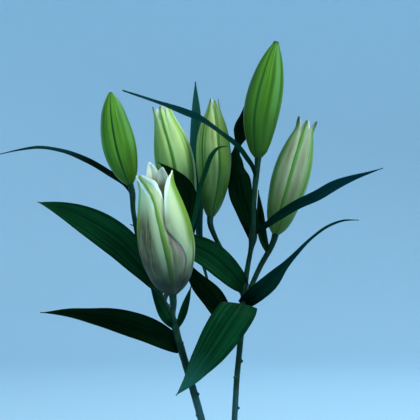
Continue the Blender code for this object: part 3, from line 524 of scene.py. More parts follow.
class Smooth:
    """A smooth curve through values (numbers or points) that stand at rising knots."""

    def __init__(self, knots, values):
        self.knots = knots
        self.values = values
        steps = [b - a for a, b in zip(knots, knots[1:])]
        slopes = [(b - a) / step for a, b, step in zip(values, values[1:], steps)]
        self.tangents = [slopes[0]]
        for before, after, d0, d1 in zip(slopes, slopes[1:], steps, steps[1:]):
            self.tangents.append((before * d1 + after * d0) / (d0 + d1))
        self.tangents.append(slopes[-1])

    def at(self, knot):
        knot = min(max(knot, self.knots[0]), self.knots[-1])
        i = 0
        while i < len(self.knots) - 2 and knot > self.knots[i + 1]:
            i += 1
        step = self.knots[i + 1] - self.knots[i]
        u = (knot - self.knots[i]) / step
        start, end = self.values[i], self.values[i + 1]
        leave, arrive = self.tangents[i] * step, self.tangents[i + 1] * step
        return (
            start * (2 * u**3 - 3 * u**2 + 1)
            + leave * (u**3 - 2 * u**2 + u)
            + end * (3 * u**2 - 2 * u**3)
            + arrive * (u**3 - u**2)
        )


class Route:
    """A smooth way through points. Its places are shares of its length, from 0 to 1."""

    def __init__(self, points, radii=None):
        knots = [0.0]
        for a, b in zip(points, points[1:]):
            knots.append(knots[-1] + (b - a).length)
        self.length = knots[-1]
        self.curve = Smooth(knots, points)
        self.thickness = Smooth(knots, radii) if radii else None

    def at(self, share):
        return self.curve.at(share * self.length)

    def radius(self, share):
        return self.thickness.at(share * self.length)

    def heading(self, share):
        ahead, behind = min(share + HEADING_STEP, 1), max(share - HEADING_STEP, 0)
        return (self.at(ahead) - self.at(behind)).normalized()

    def at_height(self, height):
        """The point of a rising way at a height, found by halving."""
        low, high = 0.0, 1.0
        for _ in range(HALVINGS):
            middle = (low + high) / 2
            if self.at(middle).z < height:
                low = middle
            else:
                high = middle
        return self.at(low)


class Bud:
    """A bud's axis, outline and turn."""

    def __init__(self, row):
        base, tip = seen(*row["base"]), seen(*row["tip"])
        side = (tip - base).cross(Vector((0, 1, 0))).normalized()
        low, high = row["bow"]
        thirds = [base.lerp(tip, 1 / 3) - side * low * MM, base.lerp(tip, 2 / 3) - side * high * MM]
        self.axis = Route([base] + thirds + [tip])
        self.size = (VIEW_DISTANCE + row["base"][2]) / VIEW_DISTANCE * MM
        self.outline = table(row["outline"])
        self.turn = row["turn"]

    def radius(self, share):
        return self.outline.at(share) * self.size

    def place(self, share, degrees, out):
        """The point at a share of the length, some degrees round from the front and out by a length."""
        within = min(share, 1)
        along = self.axis.heading(within)
        front = Vector((0, -1, 0))
        front = (front - along * front.dot(along)).normalized()
        right = along.cross(front)
        angle = math.radians(degrees)
        beyond = max(share - 1, 0) * self.axis.length
        outward = front * math.cos(angle) + right * math.sin(angle)
        return self.axis.at(within) + along * beyond + outward * out

    def seat(self):
        """The last two points of the pedicel, square to the bud's base and just inside it."""
        heading = self.axis.heading(0)
        end = self.axis.at(0) + heading * SEAT_DEPTH
        return [end - heading * (SEAT_RUN + SEAT_DEPTH), end]


def seen(across, up, depth):
    """The point that the front view shows at across and up, as far back as depth."""
    grow = (VIEW_DISTANCE + depth) / VIEW_DISTANCE
    x = VIEW_ACROSS + (across - VIEW_ACROSS) * grow
    z = VIEW_HEIGHT + (up - VIEW_HEIGHT) * grow
    return MM * Vector((x, depth, z))


def table(pairs):
    """A smooth curve through a list of (knot, value)."""
    return Smooth([knot for knot, _ in pairs], [value for _, value in pairs])


def ease(value, low, high):
    """0 below low, 1 above high, and smooth between."""
    u = min(max((value - low) / (high - low), 0), 1)
    return u * u * (3 - 2 * u)


def bump(value, centre, width):
    return math.exp(-(((value - centre) / width) ** 2))


class Maker:
    """Adds nodes to a tree and links them."""

    def __init__(self, tree):
        self.tree = tree

    def node(self, kind, inputs=None, **settings):
        made = self.tree.nodes.new(kind)
        for name, value in settings.items():
            setattr(made, name, value)
        for socket, value in (inputs or {}).items():
            if isinstance(value, bpy.types.NodeSocket):
                self.tree.links.new(value, made.inputs[socket])
            else:
                made.inputs[socket].default_value = value
        return made

    def group(self, tree, inputs):
        return self.node("ShaderNodeGroup", inputs, node_tree=tree).outputs

    def veins(self, tree, across, along, count, fine_count, seed):
        """What the vein group gives for so many strong and fine veins across a blade."""
        inputs = {"Across": across, "Along": along, "Count": count, "Fine Count": fine_count, "Seed": seed}
        return self.group(tree, inputs)

    def math(self, operation, a, b=0.0, c=0.0):
        return self.node("ShaderNodeMath", {0: a, 1: b, 2: c}, operation=operation).outputs[0]

    def times(self, a, b):
        return self.math("MULTIPLY", a, b)

    def times_plus(self, a, b, c):
        """a times b, plus c."""
        return self.math("MULTIPLY_ADD", a, b, c)

    def ramp(self, value, low, high, start=0.0, end=1.0):
        """Start below low, end above high, and smooth between."""
        inputs = {"Value": value, "From Min": low, "From Max": high, "To Min": start, "To Max": end}
        return self.node("ShaderNodeMapRange", inputs, interpolation_type="SMOOTHSTEP").outputs["Result"]

    def mix(self, factor, a, b):
        inputs = {"Factor": factor, 6: a, 7: b}
        return self.node("ShaderNodeMix", inputs, data_type="RGBA").outputs[2]

    def noise(self, place, scale, detail=2.0, rough=0.5):
        inputs = {"Vector": place, "Scale": scale, "Detail": detail, "Roughness": rough}
        return self.node("ShaderNodeTexNoise", inputs).outputs["Fac"]

    def place(self, x, y, z):
        return self.node("ShaderNodeCombineXYZ", {0: x, 1: y, 2: z}).outputs[0]

    def attribute(self, name):
        return self.node("ShaderNodeAttribute", attribute_name=name).outputs["Fac"]

    def object_place(self, stretch=(1, 1, 1)):
        """Object coordinates, each times its part of stretch. A small part draws a pattern out."""
        place = self.node("ShaderNodeTexCoord").outputs["Object"]
        return self.node("ShaderNodeMapping", {"Vector": place, "Scale": stretch}).outputs[0]

    def height(self):
        """The height above the vase's foot."""
        return self.node("ShaderNodeSeparateXYZ", {"Vector": self.object_place()}).outputs["Z"]


def new_group(name, numbers, colours, numbers_out, colours_out=()):
    """A shader node group with such sockets, its maker, and the sockets that come in."""
    old = bpy.data.node_groups.get(name)
    if old:
        bpy.data.node_groups.remove(old)
    group = bpy.data.node_groups.new(name, "ShaderNodeTree")
    for way, kind, sockets in (
        ("INPUT", "NodeSocketFloat", numbers), ("INPUT", "NodeSocketColor", colours),
        ("OUTPUT", "NodeSocketFloat", numbers_out), ("OUTPUT", "NodeSocketColor", colours_out),
    ):
        for socket in sockets:
            group.interface.new_socket(socket, in_out=way, socket_type=kind)
    return group, Maker(group), group.nodes.new("NodeGroupInput").outputs


def put_out(maker, results):
    end = maker.tree.nodes.new("NodeGroupOutput")
    for socket, value in results.items():
        maker.tree.links.new(value, end.inputs[socket])


def vein_group():
    """Lengthwise veins of a blade: strong evenly spaced ones, and fine irregular ones between."""
    group, m, came = new_group(
        "lengthwise_veins", ["Across", "Along", "Count", "Fine Count", "Seed"], [],
        ["Strong", "Fine", "Height"])
    across, along = came["Across"], came["Along"]
    drift = m.noise(m.place(across, m.times(along, 3), came["Seed"]), 2)
    drift = m.times_plus(drift, 0.08, -0.04)
    moved = m.math("ADD", across, drift)
    turns = m.times(m.times(moved, came["Count"]), math.pi)
    wave = m.times_plus(m.math("COSINE", turns), 0.5, 0.5)
    strong = m.math("POWER", wave, 5)
    fine_place = m.place(m.times(moved, came["Fine Count"]), m.times(along, 2.5), came["Seed"])
    fine = m.ramp(m.noise(fine_place, 1, 3, 0.6), 0.35, 0.7)
    height = m.times_plus(strong, 0.6, m.times(fine, 0.4))
    put_out(m, {"Strong": strong, "Fine": fine, "Height": height})
    return group


def tepal_group():
    """A tepal's outer face: green midrib and flanks, dusky panels, pale margins, and green ends, the base
    darkened partly as painted shade.
    """
    group, m, came = new_group(
        "tepal_face", ["Across", "Along", "Edge", "Tone", "Own", "Own Dusk", "Fine"] + AMOUNTS,
        ["Pale", "Rib", "Flank", "Dusky", "Low"], ["Height"], ["Color"])
    side, along = m.math("ABSOLUTE", came["Across"]), came["Along"]
    cloud = m.noise(m.object_place((1, 1, 0.35)), 160, 3)
    streak = m.times_plus(came["Fine"], 0.6, m.times(cloud, 0.4))
    wander = m.times_plus(cloud, 0.24, -0.12)
    moved = m.math("ADD", side, wander)
    reach = came["Flank Reach"]
    # Dusky panels between the midrib's green flanks and the margins. Tepals with a green and a dusk of
    # their own bring those in by Tone and Own Dusk instead; in the front bud's petal Own Dusk also brings
    # painted shade into the gutter beside the outer tepal's margin.
    general = m.math("SUBTRACT", 1.0, came["Own"])
    panel = m.ramp(moved, m.times(reach, 0.6), m.math("ADD", reach, 0.12))
    panel = m.times(panel, m.ramp(moved, 0.93, 0.62))
    top = came["Dusk Top"]
    length = m.times(m.ramp(along, 0.1, 0.34), m.ramp(along, top, m.math("SUBTRACT", top, 0.27)))
    panel = m.times(m.times(panel, general), length)
    blotch = m.times_plus(wander, 1.5, m.ramp(streak, 0.05, 0.6, 0.6, 1.0))
    dusk = m.times(m.math("ADD", panel, came["Own Dusk"]), blotch)
    skin = m.mix(m.times(dusk, came["Dusk"]), came["Pale"], came["Dusky"])
    flank = m.times(m.ramp(moved, reach, m.times(reach, 0.3)), m.ramp(streak, 0.1, 0.7, 1.0, 0.55))
    skin = m.mix(m.times(flank, general), skin, came["Flank"])
    skin = m.mix(came["Tone"], skin, came["Flank"])
    # The dark base, partly greener and partly painted shade from below: an even rise down to the stalk, and
    # a steep one low down
    level = m.times_plus(wander, 0.5, along)
    even = m.ramp(level, came["Low Reach"], came["Low Full"])
    steep = m.ramp(level, 0.43, 0.1)
    low = m.times(steep, m.math("SUBTRACT", 0.985, came["Low Even"]))
    low = m.times_plus(even, came["Low Even"], low)
    skin = m.mix(low, skin, came["Low"])
    # The midrib, the white rim and the dark tip
    width = m.times(came["Rib Width"], m.ramp(along, 1.0, 0.6, 0.5, 1.0))
    rib = m.ramp(side, m.times(width, 0.6), m.times(width, 1.3), 1.0, 0.0)
    rib = m.times(rib, m.ramp(along, 0.985, 0.955))
    fresh = m.mix(m.ramp(along, 0.82, 0.06, 0.0, 0.95), came["Rib"], came["Low"])
    skin = m.mix(rib, skin, fresh)
    inward = m.ramp(along, 0.8, 0.97, 0.78, 0.45)
    rim = m.ramp(came["Edge"], inward, m.math("ADD", inward, 0.2))
    rim = m.times(rim, m.ramp(along, 0.62, 0.86))
    skin = m.mix(m.times(rim, came["Rim"]), skin, RIM_WHITE)
    tip = m.ramp(m.math("SUBTRACT", along, m.times(side, 0.02)), came["Tip Start"], 1.0)
    skin = m.mix(m.times(tip, 0.9), skin, TIP_DARK)
    put_out(m, {"Color": skin, "Height": streak})
    return group


def new_material(name, **constants):
    """A material with a Principled BSDF, its maker and the shader. Constants stay on its sockets."""
    made = bpy.data.materials.new(name)
    made.use_nodes = True
    shader = made.node_tree.nodes["Principled BSDF"]
    for socket, value in constants.items():
        shader.inputs[socket.replace("_", " ")].default_value = value
    return made, Maker(made.node_tree), shader


def shaded(colour, share, lift=0):
    """A colour darkened or lightened by a share, and lifted evenly."""
    return [c * share + lift for c in colour[:3]] + [1]


def dress(maker, shader, colour, roughness=None, height=None, strength=0.5, distance=0.0002):
    """Links what varies over the surface to the shader."""
    maker.tree.links.new(colour, shader.inputs["Base Color"])
    if roughness:
        maker.tree.links.new(roughness, shader.inputs["Roughness"])
    if height:
        inputs = {"Height": height, "Strength": strength, "Distance": distance}
        relief = maker.node("ShaderNodeBump", inputs)
        maker.tree.links.new(relief.outputs["Normal"], shader.inputs["Normal"])


def leaf_material(name, base, vein, veins, gloss, shine, tip_start, tip):
    """One side of a leaf. gloss is about its roughness. Its tip takes a colour of its own from tip_start."""
    made, m, shader = new_material(name, Specular_IOR_Level=shine, Specular_Tint=GREEN_SHEEN)
    across, along = m.attribute("across"), m.attribute("along")
    lines = m.veins(veins, across, along, 8.0, 24.0, 1.0)
    cloud = m.noise(m.object_place(), 45, 3)
    bands = m.noise(m.place(m.times(across, 3.2), m.times(along, 0.7), cloud), 1.6, 1)
    lift = m.times_plus(lines["Strong"], 0.35, m.times(lines["Fine"], 0.22))
    lift = m.times_plus(m.ramp(bands, 0.42, 0.66), 0.5, lift)
    lift = m.times(lift, m.times_plus(cloud, 0.9, 0.4))
    skin = m.mix(lift, base, vein)
    side = m.math("ABSOLUTE", across)
    # The midrib, the margins, the root and the tip
    skin = m.mix(m.ramp(side, 0.05, 0.012, 0.0, 0.45), skin, vein)
    skin = m.mix(m.ramp(side, 0.88, 1.0, 0.0, 0.6), skin, shaded(base, 0.4))
    skin = m.mix(m.ramp(along, 0.25, 0.0, 0.0, 0.6), skin, shaded(base, 0.5))
    # From tip_start on the tip takes its own colour; on the folded and edgewise leaves that colour is a
    # painted teal sheen
    skin = m.mix(m.ramp(along, tip_start, 1.0, 0.0, 0.8), skin, tip)
    rough = m.ramp(cloud, 0.2, 0.8, gloss - 0.06, gloss + 0.1)
    dress(m, shader, skin, rough, lines["Height"], 0.6, 0.0003)
    return made


def tepal_material(name, veins, face, finish, rib, amounts, flush):
    """The outer face of a bud's tepals. amounts are those of FINISHES, flush the hollow's colour, its own
    pink and painted shade, or None.
    """
    made, m, shader = new_material(name, Specular_IOR_Level=0.14, **TEPAL_GLOW)
    across, along = m.attribute("across"), m.attribute("along")
    fine = m.veins(veins, across, along, 7.0, 13.0, 4.0)
    inputs = {"Across": across, "Along": along, "Edge": m.attribute("edge"), "Tone": m.attribute("tone"),
              "Own": m.attribute("own"), "Own Dusk": m.attribute("dusky"), "Fine": fine["Fine"], "Rib": rib}
    inputs.update(zip(("Pale", "Flank", "Dusky", "Low"), finish))
    inputs.update(zip(AMOUNTS, amounts))
    skin = m.group(face, inputs)
    colour = skin["Color"]
    if flush is not None:
        # The hollow's pink flush, partly painted shade
        stain = m.times(m.attribute("flush"), m.ramp(fine["Fine"], 0.1, 0.8, 0.7, 1.0))
        colour = m.mix(stain, colour, flush)
    rough = m.ramp(fine["Fine"], 0.0, 1.0, 0.4, 0.52)
    dress(m, shader, colour, rough, skin["Height"], 0.55, 0.0003)
    return made


def inside_material(name, colour, rib, veins):
    """The inner faces of the tepals: white, with a green furrow low down along the middle."""
    made, m, shader = new_material(name, Specular_IOR_Level=0.3, **TEPAL_GLOW)
    across, along = m.attribute("across"), m.attribute("along")
    fine = m.veins(veins, across, along, 7.0, 13.0, 7.0)
    side = m.math("ABSOLUTE", across)
    low = m.times(m.ramp(side, 0.2, 0.03), m.ramp(along, 0.9, 0.4))
    skin = m.mix(m.ramp(along, 0.93, 0.84, 0.0, 0.8), colour, TIP_TAN)
    skin = m.mix(m.times(low, 0.7), skin, rib)
    skin = m.mix(m.times(fine["Fine"], 0.35), skin, shaded(colour, 0.8))
    rough = m.ramp(fine["Fine"], 0.0, 1.0, 0.4, 0.52)
    dress(m, shader, skin, rough, fine["Height"], 0.5, 0.0003)
    return made


def closed_bud_material(name, base, groove, ridge, veins, crisp, dark_tip):
    """A closed bud's skin. crisp from 0 to 1 says how sharply its grooves are drawn."""
    made, m, shader = new_material(
        name, Specular_IOR_Level=0.18, Specular_Tint=GREEN_SHEEN, Subsurface_Weight=0.05,
        Subsurface_Radius=(0.002, 0.004, 0.001), Subsurface_Scale=1.0)
    away, along = m.attribute("across"), m.attribute("along")
    fine = m.veins(veins, away, along, 5.0, 12.0, 2.0)
    cloud = m.noise(m.object_place((1, 1, 0.3)), 130, 3)
    dark, light = shaded(base, 0.4), shaded(base, 1.9, 0.025)
    streak = m.times_plus(fine["Fine"], 0.5, m.times(cloud, 0.5))
    skin = m.mix(m.ramp(streak, 0.2, 0.8), shaded(base, 0.8), shaded(base, 1.3))
    # The ridge's crest as a painted highlight, the furrow beside it in painted shade, the tepal's light
    # border, the dark base, partly greener and partly painted shade, the groove where two tepals meet in
    # painted shade, and the tip
    high = m.times(m.ramp(away, 0.74, 0.9), m.ramp(along, 0.25, 0.6, 0.35, 0.75))
    skin = m.mix(high, skin, ridge)
    furrow = m.times(m.ramp(away, 0.48, 0.62), m.ramp(away, 0.8, 0.68))
    skin = m.mix(m.times(furrow, 0.85 - 0.5 * crisp), skin, dark)
    border = m.times(m.ramp(away, 0.05, 0.12), m.ramp(away, 0.34, 0.14))
    skin = m.mix(m.times(border, 0.2 + 0.1 * crisp), skin, light)
    skin = m.mix(m.ramp(along, 0.8 - 0.3 * crisp, 0.0, 0.0, 1 - 0.25 * crisp), skin, dark)
    skin = m.mix(m.ramp(away, 0.13 - 0.05 * crisp, 0.02, 0.0, 0.65 + 0.35 * crisp), skin, groove)
    skin = m.mix(m.ramp(along, 1 - dark_tip, 1.0), skin, groove)
    rough = m.ramp(cloud, 0.2, 0.8, 0.38, 0.52)
    dress(m, shader, skin, rough, fine["Height"], 0.4, 0.00025)
    return made


def stem_material(colour, shade, grey):
    """A streaky stalk that is greyer towards its cut end, dark in stretches, the lower one a painted shadow
    under the low leaves, and finely specked.
    """
    made, m, shader = new_material("stalk_skin", Specular_IOR_Level=0.22, Specular_Tint=GREEN_SHEEN)
    streaks = m.noise(m.object_place((1, 1, 0.05)), 900, 3, 0.6)
    patches = m.noise(m.object_place(), 60, 3)
    specks = m.ramp(m.noise(m.object_place((1, 1, 0.4)), 1500, 1), 0.66, 0.74)
    skin = m.mix(m.ramp(streaks, 0.3, 0.7), colour, shade)
    height = m.times_plus(patches, 0.012, m.math("SUBTRACT", m.height(), 0.006))
    skin = m.mix(m.ramp(height, GREY_TOP, GREY_FULL, 0.0, 0.8), skin, grey)
    # Darker stretches; the lower one is a painted shadow under the low leaves
    for low, high in DARK_STRETCHES:
        rise = m.ramp(height, low - DARK_FADE, low + DARK_FADE)
        dark = m.times(rise, m.ramp(height, high + DARK_FADE, high - DARK_FADE))
        skin = m.mix(m.times(dark, 0.9), skin, shade)
    skin = m.mix(m.ramp(patches, 0.45, 0.75, 0.0, 0.7), skin, shade)
    skin = m.mix(m.times(specks, 0.4), skin, STALK_SPECK)
    rough = m.ramp(patches, 0.3, 0.7, 0.38, 0.5)
    dress(m, shader, skin, rough, streaks, 0.6, 0.0003)
    return made


def glaze_material(glaze, pooled, clay, bare_foot):
    made, m, shader = new_material("pale_glaze", Specular_IOR_Level=0.5, Coat_Roughness=0.12)
    height = m.height()
    cloud = m.noise(m.object_place((1, 1, 0.6)), 22, 4)
    skin = m.mix(m.ramp(cloud, 0.35, 0.7, 0.0, 0.35), glaze, pooled)
    # The pooled glaze above the foot, the worn lip, and dark specks in patches
    run = m.math("ADD", height, m.times_plus(cloud, 0.02, -0.01))
    skin = m.mix(m.ramp(run, *GLAZE_POOL, 0.0, 0.7), skin, pooled)
    skin = m.mix(m.ramp(height, *GLAZE_LIP, 0.0, 0.55), skin, clay)
    speck = m.node("ShaderNodeTexVoronoi", {"Vector": m.object_place(), "Scale": 260.0}).outputs["Distance"]
    chosen = m.ramp(m.noise(m.object_place(), 90, 1), 0.52, 0.6)
    specks = m.times(m.ramp(speck, 0.16, 0.1), chosen)
    skin = m.mix(m.times(specks, 0.6), skin, GLAZE_SPECK)
    # The bare clay of the foot, with an uneven edge, and the turning rings in the relief
    edge = m.math("ADD", height, m.times_plus(cloud, 0.0016, -0.0008))
    glazed = m.ramp(edge, bare_foot, bare_foot + 0.0008)
    skin = m.mix(glazed, clay, skin)
    rough = m.times_plus(glazed, -0.5, m.times_plus(cloud, 0.12, 0.72))
    m.tree.links.new(m.times(glazed, 0.6), shader.inputs["Coat Weight"])
    rings = m.noise(m.place(0.0, 0.0, height), 260, 2)
    relief = m.times_plus(rings, 0.7, m.times(cloud, 0.3))
    dress(m, shader, skin, rough, relief, 0.35, 0.0006)
    return made


def water_material():
    made, m, shader = new_material(
        "still_water", Roughness=0.03, IOR=1.33, Transmission_Weight=0.9, Specular_IOR_Level=0.5)
    cloud = m.noise(m.object_place(), 30, 2)
    dress(m, shader, m.mix(cloud, *WATER_TONES))
    return made


def add_object(name, shape, materials):
    """A smoothly shaded object from a bmesh."""
    mesh = bpy.data.meshes.new(name)
    shape.to_mesh(mesh)
    shape.free()
    mesh.shade_smooth()
    made = bpy.data.objects.new(name, mesh)
    bpy.context.scene.collection.objects.link(made)
    for material in materials:
        mesh.materials.append(material)
    return made


def finish_piece(name, shape, materials, node):
    """A shown piece from a bmesh, on the root body, in place of its node."""
    made = add_object(name, shape, materials)
    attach(made, "root")
    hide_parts(node)
    return made


def turn_round(profile, sides):
    """A shape turned about the z axis from the points of its profile, in the same order each run."""
    shape = bmesh.new()
    turns = [2 * math.pi * i / sides for i in range(sides)]
    rings = []
    for out, _, up in profile:
        if out < ON_AXIS:
            rings.append([shape.verts.new((0, 0, up))] * sides)
        else:
            rings.append([shape.verts.new((out * math.cos(a), out * math.sin(a), up)) for a in turns])
    for low, high in zip(rings, rings[1:]):
        for i in range(sides):
            corners = [low[i - 1], low[i], high[i], high[i - 1]]
            shape.faces.new(list(dict.fromkeys(corners)))
    return shape


def thicken(piece, thickness, margin):
    """Gives blades their thickness, thinner at the margins, with the next material on the under side."""
    piece.vertex_groups.new(name="thick")
    solid = piece.modifiers.new("thickness", "SOLIDIFY")
    solid.thickness = thickness
    solid.offset = 0
    solid.vertex_group = "thick"
    solid.thickness_vertex_group = margin
    solid.material_offset = 1
    solid.use_even_offset = True


def blade_layers(shape):
    """The layers of a blade: how far across and along each point lies, and how thick it is there."""
    layers = shape.verts.layers
    return layers.float.new("across"), layers.float.new("along"), layers.deform.verify()


def vase_outside():
    """The vase's outer profile from foot to lip, as points (radius, 0, height) in metres."""
    body = [Vector((r * VASE_BELLY_RADIUS, 0, z * VASE_HEIGHT)) for r, z in VASE_BODY]
    neck = [Vector((r, 0, z * VASE_HEIGHT)) for r, z in VASE_NECK]
    return Route([point * MM for point in body + neck])


def vase_profile():
    """The closed way from the middle of the foot over the lip to the middle of the floor."""
    outside = vase_outside()
    outer = [outside.at(i / VASE_RINGS) for i in range(VASE_RINGS + 1)]
    inner = []
    for i in range(VASE_RINGS, -1, -1):
        along = outside.heading(i / VASE_RINGS)
        point = outer[i] + Vector((-along.z, 0, along.x)) * VASE_WALL * MM
        if point.z > VASE_FLOOR * MM:
            inner.append(point)
    middle = (outer[-1] + inner[0]) / 2
    half = (outer[-1] - inner[0]) / 2
    rise = Vector((0, 0, VASE_HEIGHT * MM - middle.z))
    lip = []
    for i in range(1, LIP_STEPS):
        angle = math.pi * i / LIP_STEPS
        lip.append(middle + half * math.cos(angle) + rise * math.sin(angle))
    foot = VASE_FOOT_RADIUS * MM
    floor = Vector((inner[-1].x - VASE_FLOOR_CORNER * MM, 0, VASE_FLOOR * MM))
    out, up = VASE_FOOT_BEVEL
    start = [Vector((0, 0, 0)), Vector((foot * 0.6, 0, 0)), Vector((foot, 0, 0)),
             Vector((foot + out * MM, 0, up * MM))]
    return start + outer + lip + inner + [floor, Vector((0, 0, floor.z))]


class LILY_OT_vase(bpy.types.Operator):
    """Turns the glazed bottle vase"""

    bl_idname = "lily.vase"
    bl_label = "Vase"

    def execute(self, context):
        wanted = context.scene.lily_vase
        shape = turn_round(vase_profile(), VASE_SIDES)
        bmesh.ops.recalc_face_normals(shape, faces=shape.faces)
        glaze = glaze_material(wanted.glaze, wanted.pooled, wanted.clay, wanted.bare_foot)
        finish_piece("vase_glazed", shape, [glaze], "vase")
        return {"FINISHED"}


class LILY_OT_water(bpy.types.Operator):
    """Gives the water in the vase its finish"""

    bl_idname = "lily.water"
    bl_label = "Water"

    def execute(self, context):
        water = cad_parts["water"]
        clear = water_material()
        for slot in water.material_slots:
            slot.material = clear
        return {"FINISHED"}


def stalk_route(side):
    """The way of a stalk up to the closed bud on its top."""
    rows = STALKS[side]
    row = next(bud for bud in CLOSED_BUDS.values() if bud["stalk"] == side)
    bud = Bud(row)
    end = bud.radius(0) * SEAT_SHARE
    radii = [r[3] * MM for r in rows] + [(rows[-1][3] * MM + end) / 2, end]
    return Route([seen(*r[:3]) for r in rows] + bud.seat(), radii)


def pedicel_route(name, stalks):
    """The way of a pedicel from its stalk into its opening bud."""
    side, height, first_radius, rows = PEDICELS[name]
    bud = Bud(OPENING_BUDS[name])
    end = bud.radius(0) * SEAT_SHARE
    points = [stalks[side].at_height(height * MM)] + [seen(*r[:3]) for r in rows] + bud.seat()
    radii = [first_radius * MM] + [r[3] * MM for r in rows] + [(rows[-1][3] * MM + end) / 2, end]
    return Route(points, radii)


def add_tube(shape, route, swellings):
    """Adds a closed round tube along a route, a little thicker at each height in swellings."""
    count = max(3, round((route.length - SEAT_RUN) / STALK_SPACING) + 1)
    shares = [i / (count - 1) * (1 - SEAT_RUN / route.length) for i in range(count)] + [1.0]
    curve = bpy.data.curves.new("tube", "CURVE")
    curve.dimensions = "3D"
    curve.bevel_depth = MM
    curve.bevel_resolution = STALK_ROUNDNESS
    curve.use_fill_caps = True
    spline = curve.splines.new("POLY")
    spline.points.add(len(shares) - 1)
    for share, point in zip(shares, spline.points):
        place = route.at(share)
        swell = sum(bump(place.z, height * MM, NODE_LENGTH) for height in swellings)
        point.co = (*place, 1)
        point.radius = (route.radius(share) + NODE_SWELL * swell) / MM
    guide = bpy.data.objects.new("tube", curve)
    bpy.context.scene.collection.objects.link(guide)
    mesh = bpy.data.meshes.new_from_object(guide.evaluated_get(bpy.context.evaluated_depsgraph_get()))
    shape.from_mesh(mesh)
    bpy.data.objects.remove(guide)
    bpy.data.curves.remove(curve)
    bpy.data.meshes.remove(mesh)


def add_scar(shape, route, height, degrees):
    """Adds the short stub of a stripped leaf."""
    angle = math.radians(degrees)
    outward = Vector((math.sin(angle), -math.cos(angle), SCAR_RISE)).normalized()
    place = Matrix.Translation(route.at_height(height * MM) + outward * SCAR_SHIFT)
    bmesh.ops.create_cone(
        shape, cap_ends=True, segments=12, radius1=SCAR_RADIUS, radius2=SCAR_END_RADIUS, depth=SCAR_LENGTH,
        matrix=place @ outward.to_track_quat("Z", "Y").to_matrix().to_4x4())


def one_skin(shape, voxel):
    """One even, closed skin round overlapping closed shapes."""
    mesh = bpy.data.meshes.new("joined")
    shape.to_mesh(mesh)
    joined = bpy.data.objects.new("joined", mesh)
    bpy.context.scene.collection.objects.link(joined)
    skin = joined.modifiers.new("skin", "REMESH")
    skin.mode = "VOXEL"
    skin.voxel_size = voxel
    evaluated = joined.evaluated_get(bpy.context.evaluated_depsgraph_get())
    result = bpy.data.meshes.new_from_object(evaluated)
    bpy.data.objects.remove(joined)
    bpy.data.meshes.remove(mesh)
    shape.clear()
    shape.from_mesh(result)
    bpy.data.meshes.remove(result)


class LILY_OT_stems(bpy.types.Operator):
    """Grows both stalks with their pedicels and leaf scars, each as one smooth body"""

    bl_idname = "lily.stems"
    bl_label = "Stems"

    def execute(self, context):
        wanted = context.scene.lily_stems
        skin = stem_material(wanted.colour, wanted.shade, wanted.grey)
        stalks = {side: stalk_route(side) for side in STALKS}
        for side, route in stalks.items():
            shape = bmesh.new()
            swellings = [leaf["height"] for leaf in LEAVES.values() if leaf["stalk"] == side]
            add_tube(shape, route, swellings)
            for name, row in PEDICELS.items():
                if row[0] == side:
                    add_tube(shape, pedicel_route(name, stalks), [])
            for which, height, degrees in SCARS:
                if which == side:
                    add_scar(shape, route, height, degrees)
            one_skin(shape, STALK_VOXEL)
            for _ in range(STALK_SMOOTHING):
                bmesh.ops.smooth_vert(
                    shape, verts=shape.verts, factor=0.5, use_axis_x=True, use_axis_y=True, use_axis_z=True)
            shape.normal_update()
            for vert in shape.verts:
                place = Vector([c * grain for c, grain in zip(vert.co, RIDGE_GRAIN)])
                vert.co += vert.normal * (noise.noise(place) + 0.5) * wanted.ridge
            finish_piece("stem_" + side + "_skin", shape, [skin], "stem_" + side)
        return {"FINISHED"}


class LILY_OT_closed_buds(bpy.types.Operator):
    """Models the closed buds, whose outer tepals meet in three grooves"""

    bl_idname = "lily.closed_buds"
    bl_label = "Closed buds"

    def execute(self, context):
        wanted = context.scene.lily_buds
        veins = bpy.data.node_groups["lengthwise_veins"]
        straight = [(0, 0, 0)] + [(1, 0, i / BUD_RINGS) for i in range(BUD_RINGS + 1)] + [(0, 0, 1)]
        for name, row in CLOSED_BUDS.items():
            bud = Bud(row)
            crease = CREASE + CRISP_CREASE * row["crisp"]
            furrows = [(crease, 0, CREASE_BREADTH)] + BUD_FURROWS
            shape = turn_round(straight, BUD_SIDES)
            across, along = shape.verts.layers.float.new("across"), shape.verts.layers.float.new("along")
            for vert in shape.verts:
                angle = math.degrees(math.atan2(vert.co.y, vert.co.x))
                away = abs((angle + 60) % 120 - 60) / 60
                share = (1 - math.cos(math.pi * vert.co.z)) / 2
                fade = math.sin(math.pi * min(max(share, 0), 1)) ** 0.25
                relief = 1 - fade * sum(depth * bump(away, place, width) for depth, place, width in furrows)
                out = bud.radius(share) * relief if vert.co.xy.length > 0.5 else 0
                vert[across], vert[along] = away, share
                vert.co = bud.place(share, angle + bud.turn, out)
            bmesh.ops.recalc_face_normals(shape, faces=shape.faces)
            skin = closed_bud_material(
                name + "_skin", wanted.closed, wanted.groove, wanted.ridge, veins, row["crisp"],
                row["dark_tip"])
            finish_piece(name + "_closed", shape, [skin], name)
        return {"FINISHED"}


